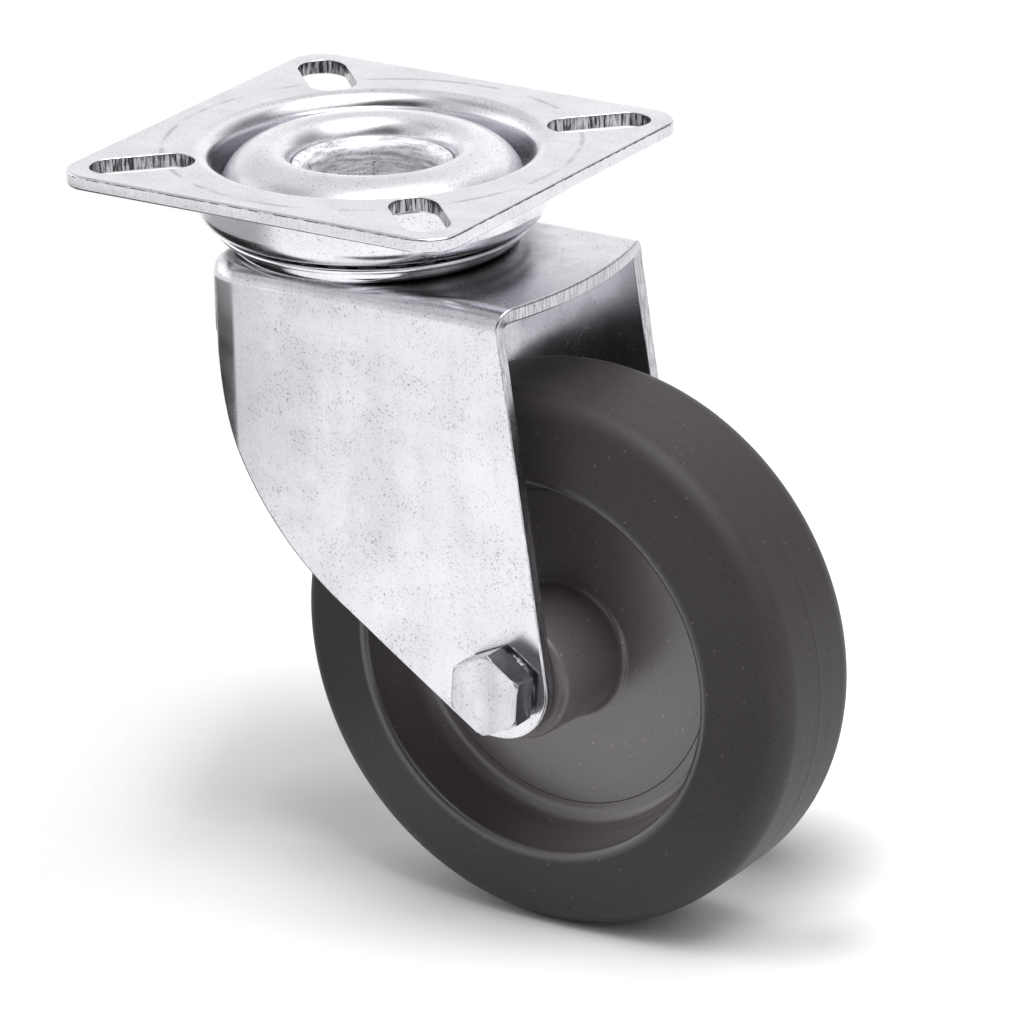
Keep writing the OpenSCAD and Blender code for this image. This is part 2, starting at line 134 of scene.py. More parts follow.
class HardwareSizes(bpy.types.PropertyGroup):
    bolt_r: length("Bolt radius", "Radius of the axle bolt", 3)
    across_flats: length("Across flats", "Width across the flats of the head and the nut", 10)
    washer_face_h: length("Washer face", "Height of the washer face under the head", 0.8)
    turned_share: FloatProperty(name="Turned share", default=1.06,
                                description="Turned-off circle as a share of the width across flats")
    washer_face_r: length("Washer face radius", "Radius of the washer face", 4.5)
    collar_r: length("Nut collar radius", "Radius of the collar at the nut's end", 4.4)
    collar_h: length("Nut collar", "Height of the collar at the nut's end", 1.6)
    thread_pitch: length("Thread pitch", "Pitch of the bolt's thread", 1)
    thread_depth: length("Thread depth", "Depth of the bolt's thread", 0.6)
    head_turn: FloatProperty(name="Head turn", description="Angle to which the head was tightened",
                             default=math.radians(25), subtype="ANGLE")


class WheelSizes(bpy.types.PropertyGroup):
    tread_half: length("Tread flat", "Half of the width of the tread's flat", 5.7)
    shoulder_r: length("Shoulder", "Radius of the tread's shoulders", 4.1)
    rim_half: length("Rim half width", "Half of the width over the rim's edges", 11.3)
    recess_r: length("Recess", "Radius of the recess at its edge", 25.7)
    recess_floor_r: length("Recess floor", "Radius of the recess at its floor", 24.7)
    rim_edge_r: length("Rim edge", "Radius round the rim's inner edge", 1)
    web_fillet_r: length("Web fillet", "Radius between the rim and the web", 2.4)
    web_half: length("Web half thickness", "Half of the web's thickness", 2.6)
    hub_r: length("Hub", "Radius of the hub where it leaves the web", 9)
    hub_taper: length("Hub taper", "Taper of the hub's radius", 0.6)
    hub_edge_r: length("Hub edge", "Radius round the hub's ends", 1.2)
    hub_fillet_r: length("Hub fillet", "Radius between the hub and the web", 1)
    bore_r: length("Bore", "Radius of the wheel's bore", 5.05)
    side_line_r: length("Side line", "Radius of the moulding line on the wheel's side", 29.4)
    groove: length("Groove", "Width and depth of the fine groove round the web", 0.14)
    flash_h: length("Flash height", "Height of the moulding lines", 0.05)
    segments: IntProperty(name="Segments", description="Steps round the wheel", default=192, min=48, max=360)


class Finishes(bpy.types.PropertyGroup):
    plate: tint("Plate", "Colour of the plated top plate", (0.745, 0.738, 0.778))
    fork: tint("Fork", "Colour of the plated fork", (0.712, 0.705, 0.742))
    bright: tint("Bright", "Colour of the race ring and the kingpin", (0.78, 0.773, 0.81))
    bolt: tint("Bolt", "Colour of the bolt and the nut", (0.60, 0.595, 0.63))
    steel: tint("Steel", "Colour of the balls and the axle tube", (0.62, 0.62, 0.63))
    wheel: tint("Wheel", "Colour of the moulded wheel", (0.0395, 0.0340, 0.0365))
    nylon: tint("Nylon", "Colour of the nut's ring", (0.70, 0.70, 0.64))
    floor: tint("Floor", "Colour of the floor", (0.93, 0.93, 0.93))


# Outlines

# An inset outline's corner moves at most the inset over this share
LEAST_LEAN = 0.3


def arc(centre, radius, start, end, step=6):
    """Points of an arc with both ends, angles in degrees."""
    count = max(2, math.ceil(abs(end - start) / step))
    angles = [math.radians(start + (end - start) * i / count) for i in range(count + 1)]
    return [(centre[0] + radius * math.cos(a), centre[1] + radius * math.sin(a)) for a in angles]


def rounded(corners, step=9):
    """Closed outline of (x, y, radius) corners, each rounded by an arc that meets both sides."""
    points = []
    for i, (x, y, radius) in enumerate(corners):
        here = Vector((x, y))
        back = (Vector(corners[i - 1][:2]) - here).normalized()
        ahead = (Vector(corners[(i + 1) % len(corners)][:2]) - here).normalized()
        if radius <= 0:
            points.append((x, y))
            continue
        half = back.angle(ahead) / 2
        centre = here + (back + ahead).normalized() * (radius / math.sin(half))
        first = here + back * (radius / math.tan(half)) - centre
        last = here + ahead * (radius / math.tan(half)) - centre
        start = math.degrees(math.atan2(first.y, first.x))
        turn = math.degrees(math.atan2(last.y, last.x)) - start
        turn = (turn + 180) % 360 - 180
        points += arc(centre, radius, start, start + turn, step)
    return [p for i, p in enumerate(points) if (Vector(p) - Vector(points[i - 1])).length > WELD]


def inset(points, distance):
    """A closed anticlockwise outline moved inwards by a distance."""
    moved = []
    for i, point in enumerate(points):
        here = Vector(point)
        before = (here - Vector(points[i - 1])).normalized()
        after = (Vector(points[(i + 1) % len(points)]) - here).normalized()
        normal = Vector((-before.y - after.y, before.x + after.x)).normalized()
        lean = max(LEAST_LEAN, normal.dot(Vector((-before.y, before.x))))
        moved.append(tuple(here + normal * (distance / lean)))
    return moved


def around(count):
    """Angles of a whole turn in equal steps, in radians."""
    return [math.tau * i / count for i in range(count)]


def fillet_steps(radius, steps=4):
    """Inset and drop of each ring of a quarter round, from the flat face to the side."""
    angles = [math.pi / 2 * i / steps for i in range(steps + 1)]
    return [(radius * (1 - math.sin(a)), radius * (1 - math.cos(a))) for a in angles]


# Mesh building

# Steps round the head's turned pressings, its kingpin, and the hexagonal pieces
TURNED_STEPS, PIN_STEPS, HEX_STEPS = 192, 144, 96
# How strongly large flat faces keep their own normals in smooth shading
FLAT_WEIGHT = 80
# What a face's marks say to the finishes: a cut edge of the sheet, which also paints the shade inside the
# slots and under the bolt's head, or a dark dashed line along an edge
FACE_MARKS = ("sheared", "grime")


class Skin:
    """A mesh under construction, from rings, strips and filled faces."""

    def __init__(self):
        self.bm = bmesh.new()
        self.marks = {name: self.bm.faces.layers.float.new(name) for name in FACE_MARKS}

    def ring(self, points):
        return [self.bm.verts.new(p) for p in points]

    def circle(self, radius, z, count, turn=0.0):
        angles = [angle + turn for angle in around(count)]
        return self.ring([(radius * math.cos(a), radius * math.sin(a), z) for a in angles])

    def strip(self, first, second, closed=True, **marks):
        count = len(first)
        for i in range(count if closed else count - 1):
            j = (i + 1) % count
            face = self.face([first[i], first[j], second[j], second[i]])
            for name, value in marks.items():
                face[self.marks[name]] = value

    def face(self, corners):
        return self.bm.faces.new([v for i, v in enumerate(corners) if v is not corners[i - 1]])

    def turned(self, section, count):
        """Rings round Z joined to each other, from a section's radii and heights."""
        rings = [self.circle(r, z, count) for r, z in section]
        for first, second in zip(rings, rings[1:]):
            self.strip(first, second)
        return rings

    def fan(self, ring, tip):
        """Closes a ring by triangles to one point."""
        point = self.bm.verts.new(tip)
        for i, vertex in enumerate(ring):
            self.face([vertex, ring[(i + 1) % len(ring)], point])

    def fill(self, rings):
        """Fills the flat face between an outer ring and the rings inside it."""
        pairs = [(v, ring[i - 1]) for ring in rings for i, v in enumerate(ring)]
        edges = [self.bm.edges.get(pair) or self.bm.edges.new(pair) for pair in pairs]
        made = bmesh.ops.triangle_fill(self.bm, use_beauty=True, edges=edges)["geom"]
        # The inner edges stay in the order in which they were made, so that every run gives the same faces
        outline = set(edges)
        inner = [part for part in made if isinstance(part, bmesh.types.BMEdge) and part not in outline]
        bmesh.ops.dissolve_limit(self.bm, angle_limit=math.radians(1), verts=[], edges=inner)

    def done(self, name):
        bmesh.ops.remove_doubles(self.bm, verts=self.bm.verts, dist=WELD)
        bmesh.ops.dissolve_degenerate(self.bm, dist=WELD / 4, edges=self.bm.edges)
        bmesh.ops.recalc_face_normals(self.bm, faces=self.bm.faces)
        mesh = bpy.data.meshes.new(name)
        self.bm.to_mesh(mesh)
        self.bm.free()
        return placed(name, mesh)


def placed(name, data):
    """A new object in the scene for a mesh, a camera or a light."""
    made = bpy.data.objects.new(name, data)
    bpy.context.scene.collection.objects.link(made)
    return made


def applied(piece):
    """Turns a piece's modifiers into plain mesh."""
    depsgraph = bpy.context.evaluated_depsgraph_get()
    mesh = bpy.data.meshes.new_from_object(piece.evaluated_get(depsgraph), preserve_all_data_layers=True,
                                           depsgraph=depsgraph)
    piece.modifiers.clear()
    piece.data = mesh
    return piece


def smoothed(piece, angle=35):
    """Smooth shading with sharp edges past an angle in degrees, and flat faces kept flat."""
    piece.data.shade_smooth()
    piece.data.set_sharp_from_angle(angle=math.radians(angle))
    weighted = piece.modifiers.new("Flat faces", "WEIGHTED_NORMAL")
    weighted.keep_sharp = True
    weighted.weight = FLAT_WEIGHT
    return applied(piece)


def round_edges(piece, width, angle, segments=2, clamp=True):
    """Takes the sharpness off the edges that turn by more than an angle in degrees."""
    edges = piece.modifiers.new("Worn edges", "BEVEL")
    edges.width = width
    edges.segments = segments
    edges.limit_method = "ANGLE"
    edges.angle_limit = math.radians(angle)
    edges.use_clamp_overlap = clamp
    return applied(piece)


def dressed(piece, node, body, slot):
    """Gives a piece its finish and puts it in the place of its CAD node."""
    piece.data.materials.clear()
    piece.data.materials.append(finish(slot))
    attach(piece, body)
    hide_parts(node)
    return piece


def spun_tree():
    """Geometry Nodes tree that sweeps a closed section round a circle."""
    name = "Spun section"
    if name in bpy.data.node_groups:
        return bpy.data.node_groups[name]
    tree = bpy.data.node_groups.new(name, "GeometryNodeTree")
    socket = tree.interface.new_socket
    socket("Section", in_out="INPUT", socket_type="NodeSocketGeometry")
    socket("Path radius", in_out="INPUT", socket_type="NodeSocketFloat")
    socket("Segments", in_out="INPUT", socket_type="NodeSocketInt")
    socket("Material", in_out="INPUT", socket_type="NodeSocketMaterial")
    socket("Solid", in_out="OUTPUT", socket_type="NodeSocketGeometry")
    start = tree.nodes.new("NodeGroupInput")
    outline = tree.nodes.new("GeometryNodeMeshToCurve")
    path = tree.nodes.new("GeometryNodeCurvePrimitiveCircle")
    sweep = tree.nodes.new("GeometryNodeCurveToMesh")
    realize = tree.nodes.new("GeometryNodeRealizeInstances")
    paint = tree.nodes.new("GeometryNodeSetMaterial")
    end = tree.nodes.new("NodeGroupOutput")
    link = tree.links.new
    link(start.outputs["Section"], outline.inputs["Mesh"])
    link(start.outputs["Path radius"], path.inputs["Radius"])
    link(start.outputs["Segments"], path.inputs["Resolution"])
    link(path.outputs["Curve"], sweep.inputs["Curve"])
    link(outline.outputs["Curve"], sweep.inputs["Profile Curve"])
    link(sweep.outputs["Mesh"], realize.inputs["Geometry"])
    link(realize.outputs["Geometry"], paint.inputs["Geometry"])
    link(start.outputs["Material"], paint.inputs["Material"])
    link(paint.outputs["Geometry"], end.inputs["Solid"])
    return tree


def set_input(modifier, name, value):
    """Sets a Geometry Nodes modifier's input by its socket's identifier."""
    for item in modifier.node_group.interface.items_tree:
        if item.in_out == "INPUT" and item.name == name:
            modifier[item.identifier] = value


def spun(name, section, segments, material):
    """A closed section of (radius, height) points, turned round the Z axis."""
    path_r = sum(r for r, z in section) / len(section)
    mesh = bpy.data.meshes.new(name)
    edges = [(i, (i + 1) % len(section)) for i in range(len(section))]
    mesh.from_pydata([(r - path_r, -z, 0) for r, z in section], edges, [])
    piece = placed(name, mesh)
    modifier = piece.modifiers.new("Spun section", "NODES")
    modifier.node_group = spun_tree()
    set_input(modifier, "Path radius", path_r)
    set_input(modifier, "Segments", segments)
    set_input(modifier, "Material", material)
    applied(piece)
    bm = bmesh.new()
    bm.from_mesh(piece.data)
    bmesh.ops.remove_doubles(bm, verts=bm.verts, dist=WELD)
    bmesh.ops.recalc_face_normals(bm, faces=bm.faces)
    bm.to_mesh(piece.data)
    bm.free()
    return piece


def on_axle(piece):
    """Moves a piece that was made round Z onto the axle, with its +Z towards the bolt's head."""
    piece.data.transform(Matrix.Translation(AXLE) @ Matrix.Rotation(math.pi / 2, 4, "X"))
    return piece


# Finishes

# How the noises are read: the noise's low and high value, and what stands for each of the two
SPECK_RAMP = (0.6, 0.72, 0.0, 1.0)
DRIFT_RAMP = (0.38, 0.66, 0.35, 1.0)
UNEVEN_RAMP = (0.35, 0.7, -0.35, 0.65)
HATCH_RAMP = (0.42, 0.58, 0.4, 0.95)
DASH_RAMP = (0.4, 0.55, 0.2, 0.9)
BROKEN_RAMP = (0.42, 0.56, 0.0, 1.0)
NOISE_ROUGHNESS = 0.6
# Sizes of the marks on the plated sheet, the darkest that they make it, and what they do to its gloss
FINE_SIZE, HATCH_SIZE, DASH_SIZE = 0.16 * MM, 0.35 * MM, 1.2 * MM
DARKEST_SHADE, SPECK_ROUGHENING, GLOSS_SWING = 0.05, 0.15, 0.3
# Where the press left a shallow ring on the plate, painted as a broken dark line of shade: its half width at
# the core and at the edge, how dark it is, and the size of its gaps
PRESS_RING_R, PRESS_RING_CORE, PRESS_RING_EDGE = 27.6 * MM, 0.1 * MM, 0.5 * MM
PRESS_RING_DEPTH, PRESS_RING_GAPS = 0.35, 7 * MM
# Painted shade on the fork's top, beside the race, thins out between these distances from the swivel axis.
# Its patches have this size, they move its end this far, and it leans to one side. It fades out between two
# depths under the fork's top
PAINTED_SHADE_START, PAINTED_SHADE_END, PAINTED_SHADE_DEPTH = 22 * MM, 29 * MM, 0.82
PAINTED_SHADE_PATCH, PAINTED_SHADE_WANDER, PAINTED_SHADE_LEAN = 3 * MM, 4 * MM, 0.22
PAINTED_SHADE_UNDER, PAINTED_SHADE_OVER = 0.6 * MM, 0.1 * MM
# Which share of the moulding's cells holds a pale or a dark dot
PALE_SHARE, DARK_SHARE = 0.13, 0.7
# Sizes of the moulding's grain, its clouds and its turning marks, and how far two of them shade it
GRAIN_SIZE, MOTTLE_SIZE, TURNING_SIZE = 0.45 * MM, 9 * MM, 0.5 * MM
GRAIN_DEPTH, TURNING_DEPTH, TURNING_RELIEF = 0.25, 0.12, 0.6
# Between which distances from the axle the hub meets the web, the painted light inside the recess ends, the
# gloss turns to scuffs, and the coat ends
HUB_TO_WEB, PAINTED_LIGHT_END = (8.8 * MM, 9.6 * MM), (25 * MM, 26 * MM)
SCUFF_START, COAT_END = (25 * MM, 28 * MM), (26.3 * MM, 27.3 * MM)
# How much of its coat the hub keeps, and how the moulding shines
HUB_COAT, COAT_IOR, MOULDED_SPECULAR = 0.2, 2.0, 0.25


def add_node(tree, kind, inputs=None, **settings):
    """A node with its settings, and inputs given as sockets or plain values."""
    made = tree.nodes.new(kind)
    for key, value in settings.items():
        setattr(made, key, value)
    for key, value in (inputs or {}).items():
        if isinstance(value, bpy.types.NodeSocket):
            tree.links.new(value, made.inputs[key])
        else:
            made.inputs[key].default_value = value
    return made


def group_tree(name, inputs, outputs):
    """An effect's node group, from its inputs' default values and its outputs' names."""
    tree = bpy.data.node_groups.new(name, "ShaderNodeTree")
    for label, value in inputs.items():
        kind = "NodeSocketVector" if isinstance(value, tuple) else "NodeSocketFloat"
        tree.interface.new_socket(label, in_out="INPUT", socket_type=kind).default_value = value
    for label in outputs:
        tree.interface.new_socket(label, in_out="OUTPUT", socket_type="NodeSocketFloat")
    return tree, tree.nodes.new("NodeGroupInput"), tree.nodes.new("NodeGroupOutput")


def calc(tree, operation, first, second=0.0):
    """One sum on sockets or plain values."""
    return add_node(tree, "ShaderNodeMath", {0: first, 1: second}, operation=operation).outputs[0]


def less(tree, value):
    """What a value leaves of 1."""
    return calc(tree, "SUBTRACT", 1.0, value)


def swing(tree, value, depth):
    """A noise's swing to both sides of its middle."""
    return calc(tree, "MULTIPLY", calc(tree, "SUBTRACT", value, 0.5), depth)


def vector_calc(tree, operation, first, second=(0, 0, 0)):
    """One sum on vectors, as the node's outputs."""
    return add_node(tree, "ShaderNodeVectorMath", {0: first, 1: second}, operation=operation).outputs


def object_place(tree):
    return add_node(tree, "ShaderNodeTexCoord").outputs["Object"]


def along_axis(tree, place, axis):
    return add_node(tree, "ShaderNodeSeparateXYZ", {"Vector": place}).outputs[axis]


def flat_radius(tree, place, plane):
    """Distance from an axis, with the plane's two axes as 1 and the axis itself as 0."""
    return vector_calc(tree, "LENGTH", vector_calc(tree, "MULTIPLY", place, plane)["Vector"])["Value"]


def ramp(tree, value, low, high, to_low=0.0, to_high=1.0):
    """A value taken from one range to another, and held there."""
    ends = {"Value": value, "From Min": low, "From Max": high, "To Min": to_low, "To Max": to_high}
    return add_node(tree, "ShaderNodeMapRange", ends, clamp=True).outputs["Result"]


def noise(tree, place, size, detail=2.0, stretch=None):
    """Noise with features of one size, drawn out along an axis where stretch is under 1."""
    if stretch is not None:
        place = add_node(tree, "ShaderNodeMapping", {"Vector": place, "Scale": stretch}).outputs["Vector"]
    inputs = {"Vector": place, "Scale": calc(tree, "DIVIDE", 1.0, size), "Detail": detail,
              "Roughness": NOISE_ROUGHNESS}
    return add_node(tree, "ShaderNodeTexNoise", inputs).outputs["Fac"]


def plated_group():
    """Bright plate on sheet steel: fine dark specks in drifts, soft clouds and streaks, rough cut edges."""
    name = "Plated surface"
    if name in bpy.data.node_groups:
        return bpy.data.node_groups[name]
    tree, start, end = group_tree(
        name,
        {"Speck size": 0.3 * MM, "Speck depth": 0.4, "Fine depth": 0.35,
         "Cloud size": 8 * MM, "Cloud depth": 0.2,
         "Streak size": 4 * MM, "Streak depth": 0.2, "Streak stretch": (1, 1, 0.15)},
        ["Shade", "Roughening", "Relief"])
    given = start.outputs
    place = object_place(tree)
    cloud = noise(tree, place, given["Cloud size"], 4.0)
    streak = noise(tree, place, given["Streak size"], 3.0, given["Streak stretch"])
    grain = noise(tree, place, given["Speck size"], 1.0)
    drift = ramp(tree, noise(tree, place, calc(tree, "MULTIPLY", given["Cloud size"], 0.5)), *DRIFT_RAMP)
    speck = calc(tree, "MULTIPLY", ramp(tree, grain, *SPECK_RAMP), drift)
    fine = swing(tree, noise(tree, place, FINE_SIZE, 1.0), given["Fine depth"])
    shade = calc(tree, "SUBTRACT", less(tree, fine), calc(tree, "MULTIPLY", speck, given["Speck depth"]))
    for value, depth in ((cloud, "Cloud depth"), (streak, "Streak depth")):
        uneven = calc(tree, "MULTIPLY", ramp(tree, value, *UNEVEN_RAMP), given[depth])
        shade = calc(tree, "SUBTRACT", shade, uneven)
    hatch = ramp(tree, noise(tree, place, HATCH_SIZE, 2.0, (1, 1, 0.1)), *HATCH_RAMP)
    dashes = ramp(tree, noise(tree, place, DASH_SIZE), *DASH_RAMP)
    # the cut-edge mark also paints shade inside the slots and under the bolt's head
    for mark, pattern in (("sheared", hatch), ("grime", dashes)):
        amount = add_node(tree, "ShaderNodeAttribute", attribute_name=mark).outputs["Fac"]
        shade = calc(tree, "MULTIPLY", shade, less(tree, calc(tree, "MULTIPLY", amount, pattern)))
    tree.links.new(calc(tree, "MAXIMUM", shade, DARKEST_SHADE), end.inputs["Shade"])
    by_specks = calc(tree, "MULTIPLY", speck, SPECK_ROUGHENING)
    roughening = calc(tree, "ADD", by_specks, calc(tree, "SUBTRACT", cloud, 0.5))
    tree.links.new(roughening, end.inputs["Roughening"])
    tree.links.new(calc(tree, "SUBTRACT", calc(tree, "MULTIPLY", grain, 0.5), speck), end.inputs["Relief"])
    return tree


def moulded_group():
    """Moulded plastic: a few pale and dark dots, a soft grain and the faint turning marks of its mould."""
    name = "Moulded surface"
    if name in bpy.data.node_groups:
        return bpy.data.node_groups[name]
    tree, start, end = group_tree(
        name, {"Dot spacing": 1 * MM, "Dot size": 0.16 * MM, "Pale": 1.5, "Dark": 0.4, "Mottle": 0.15},
        ["Shade", "Grain", "Radius"])
    given = start.outputs
    place = object_place(tree)
    cells = add_node(tree, "ShaderNodeTexVoronoi",
                     {"Vector": place, "Scale": calc(tree, "DIVIDE", 1.0, given["Dot spacing"])}).outputs
    reach = calc(tree, "DIVIDE", given["Dot size"], given["Dot spacing"])
    inside = calc(tree, "LESS_THAN", cells["Distance"], reach)
    chance = add_node(tree, "ShaderNodeSeparateColor", {"Color": cells["Color"]}).outputs

    def dots(channel, share, depth):
        chosen = calc(tree, "LESS_THAN", chance[channel], share)
        return calc(tree, "MULTIPLY", calc(tree, "MULTIPLY", inside, chosen), given[depth])

    centred = add_node(tree, "ShaderNodeMapping", {"Vector": place, "Location": (-AXLE.x, 0, -AXLE.z)})
    radius = flat_radius(tree, centred.outputs["Vector"], (1, 0, 1))
    rings = add_node(tree, "ShaderNodeCombineXYZ", {"X": radius, "Y": along_axis(tree, place, "Y")})
    grain = noise(tree, place, GRAIN_SIZE, 3.0)
    cloud = noise(tree, place, MOTTLE_SIZE, 3.0)
    marks = noise(tree, rings.outputs["Vector"], TURNING_SIZE)
    shade = calc(tree, "ADD", less(tree, dots(1, DARK_SHARE, "Dark")), dots(0, PALE_SHARE, "Pale"))
    for value, depth in ((cloud, given["Mottle"]), (grain, GRAIN_DEPTH), (marks, TURNING_DEPTH)):
        shade = calc(tree, "ADD", shade, swing(tree, value, depth))
    tree.links.new(shade, end.inputs["Shade"])
    relief = calc(tree, "ADD", grain, calc(tree, "MULTIPLY", marks, TURNING_RELIEF))
    tree.links.new(relief, end.inputs["Grain"])
    tree.links.new(radius, end.inputs["Radius"])
    return tree


def finish_start(name, colour, metallic, roughness):
    """A material with its Principled shader, ready for the finish's own nodes."""
    material = bpy.data.materials.new(name)
    material.use_nodes = True
    tree = material.node_tree
    shader = tree.nodes["Principled BSDF"]
    shader.inputs["Base Color"].default_value = (*colour, 1)
    shader.inputs["Metallic"].default_value = metallic
    shader.inputs["Roughness"].default_value = roughness
    return material, tree, shader


def shade_colour(tree, colour, factor):
    """A colour multiplied by a grey factor."""
    mixed = add_node(tree, "ShaderNodeMix", data_type="RGBA", blend_type="MULTIPLY")
    mixed.inputs["Factor"].default_value = 1
    mixed.inputs[6].default_value = (*colour, 1)
    tree.links.new(factor, mixed.inputs[7])
    return mixed.outputs[2]


def effect(tree, group, values):
    """An effect's node group placed in a material with the material's own values."""
    node = add_node(tree, "ShaderNodeGroup", node_tree=group)
    for key, value in values.items():
        node.inputs[key.replace("_", " ").capitalize()].default_value = value
    return node.outputs


def raised(tree, shader, height, strength, distance):
    """A fine relief on a finish."""
    bump = add_node(tree, "ShaderNodeBump", {"Height": height, "Strength": strength, "Distance": distance})
    tree.links.new(bump.outputs["Normal"], shader.inputs["Normal"])


def plated(name, colour, roughness, extra=None, metallic=1.0, **values):
    """Bright zinc plate: pale, specked, a little uneven in its gloss."""
    material, tree, shader = finish_start(name, colour, metallic, roughness)
    look = effect(tree, plated_group(), values)
    shade = look["Shade"]
    if extra:
        shade = calc(tree, "MULTIPLY", shade, extra(tree))
    tree.links.new(shade_colour(tree, colour, shade), shader.inputs["Base Color"])
    gloss = calc(tree, "ADD", roughness, calc(tree, "MULTIPLY", look["Roughening"], GLOSS_SWING))
    tree.links.new(gloss, shader.inputs["Roughness"])
    raised(tree, shader, look["Relief"], 0.5, 0.012 * MM)
    return material


def press_ring_shade(tree):
    """Painted shade of the shallow ring that the press left on the plate: a broken dark line round the dish.
    """
    place = object_place(tree)
    off = calc(tree, "SUBTRACT", flat_radius(tree, place, (1, 1, 0)), PRESS_RING_R)
    off = calc(tree, "ABSOLUTE", off)
    # painted shade along the press's ring
    ring = ramp(tree, off, PRESS_RING_CORE, PRESS_RING_EDGE, PRESS_RING_DEPTH, 0.0)
    broken = ramp(tree, noise(tree, place, PRESS_RING_GAPS), *BROKEN_RAMP)
    return less(tree, calc(tree, "MULTIPLY", ring, broken))


def head_painted_shade(tree):
    """Painted shade on the fork's top, darkest beside the race and thinning towards the rim."""
    place = object_place(tree)
    high = along_axis(tree, place, "Z")
    on_top = ramp(tree, high, FORK_HIGH.z - PAINTED_SHADE_UNDER, FORK_HIGH.z - PAINTED_SHADE_OVER)
    wander = calc(tree, "MULTIPLY", noise(tree, place, PAINTED_SHADE_PATCH, 4.0), PAINTED_SHADE_WANDER)
    lean = calc(tree, "MULTIPLY", along_axis(tree, place, "Y"), PAINTED_SHADE_LEAN)
    away = calc(tree, "ADD", calc(tree, "ADD", flat_radius(tree, place, (1, 1, 0)), wander), lean)
    # painted shade: the fork's top is darkened round the race
    painted_shade = ramp(tree, away, PAINTED_SHADE_START, PAINTED_SHADE_END, PAINTED_SHADE_DEPTH, 0.0)
    return less(tree, calc(tree, "MULTIPLY", painted_shade, on_top))


def moulded(name, colour, smooth=0.3, scuffed=0.5, gloss=1.0, recess_lift=1.0, **values):
    """Moulded plastic, scuffed outside the radius of the wheel's recess and glossy inside it, where painted
    light lifts its colour.
    """
    material, tree, shader = finish_start(name, colour, 0, scuffed)
    shader.inputs["Specular IOR Level"].default_value = MOULDED_SPECULAR
    shader.inputs["Coat IOR"].default_value = COAT_IOR
    shader.inputs["Coat Roughness"].default_value = smooth
    look = effect(tree, moulded_group(), values)
    radius = look["Radius"]
    # painted light: the colour is lifted inside the recess, which lies in shade
    shade = calc(tree, "MULTIPLY", look["Shade"], ramp(tree, radius, *PAINTED_LIGHT_END, recess_lift, 1.0))
    tree.links.new(shade_colour(tree, colour, shade), shader.inputs["Base Color"])
    tree.links.new(ramp(tree, radius, *SCUFF_START, smooth, scuffed), shader.inputs["Roughness"])
    inside = ramp(tree, radius, *COAT_END, gloss, 0.0)
    on_web = ramp(tree, radius, *HUB_TO_WEB, HUB_COAT, 1.0)
    tree.links.new(calc(tree, "MULTIPLY", inside, on_web), shader.inputs["Coat Weight"])
    raised(tree, shader, look["Grain"], 0.35, 0.02 * MM)
    return material


# How a streak is drawn out: sideways on the plate, round the swivel axis, or upright on the fork
SIDEWAYS = (0.3, 1, 1)
ROUND = (0.15, 0.15, 1)
UPRIGHT = (1, 1, 0.12)
# Each slot's kind of surface, its colour among the finishes, and its own values
FINISH_OF = {
    # The plate's extra darkening is the painted shade of the press's ring
    "zinc_plate": (plated, "plate", dict(roughness=0.22, extra=press_ring_shade, speck_depth=0.55, cloud_depth=0.08,
                                         streak_depth=0.08, streak_stretch=SIDEWAYS)),
    "zinc_cap": (plated, "plate", dict(roughness=0.26, metallic=0.85, speck_depth=0.5, cloud_depth=0.1,
                                       streak_depth=0.12, streak_stretch=ROUND)),
    "zinc_pin": (plated, "bright", dict(roughness=0.4, metallic=0.35, speck_depth=0.8,
                                        streak_size=0.5 * MM, streak_depth=0.8, streak_stretch=ROUND)),
    # The fork's extra darkening is painted shade beside the race
    "zinc_fork": (plated, "fork", dict(roughness=0.22, extra=head_painted_shade, speck_depth=0.48, cloud_depth=0.06,
                                       streak_depth=0.1, streak_stretch=UPRIGHT)),
    "race_steel": (plated, "bright", dict(roughness=0.13, speck_depth=0.3, cloud_depth=0.1)),
    "bolt_zinc": (plated, "bolt", dict(roughness=0.22, speck_depth=0.5, cloud_size=3 * MM, cloud_depth=0.12)),
    "tube_steel": (plated, "steel", dict(roughness=0.4, speck_depth=0.2)),
    "ball_steel": (plated, "steel", dict(roughness=0.12, speck_depth=0.1, cloud_size=1.5 * MM)),
    "wheel_plastic": (moulded, "wheel", dict(gloss=0.64, recess_lift=2.9)),
    "nylon": (moulded, "nylon", dict(smooth=0.4, scuffed=0.4, gloss=0.0, pale=0.1, dark=0.1)),
}


def finish(slot):
    """The material of one of the record's slots, made when first asked for."""
    name = slot + "_finish"
    if name not in bpy.data.materials:
        make, colour, values = FINISH_OF[slot]
        make(name, getattr(bpy.context.scene.castor_finishes, colour), **values)
    return bpy.data.materials[name]


# Pieces

# Clearances: kingpin in its holes, balls in their track, bolt in the legs and in its nut
PIN_FIT, BALL_FIT, BOLT_FIT, THREAD_FIT = 0.05 * MM, 0.1 * MM, 0.1 * MM, 0.05 * MM
# How rough the cut edges look: the plate's outline, its slots and the fork. The slots' full value also paints
# the shade inside them
PLATE_SHEAR, SLOT_SHEAR_AND_SHADE, FORK_SHEAR = 0.12, 1.0, 0.5
SLOT_TURNS = (45, 135, 225, 315)


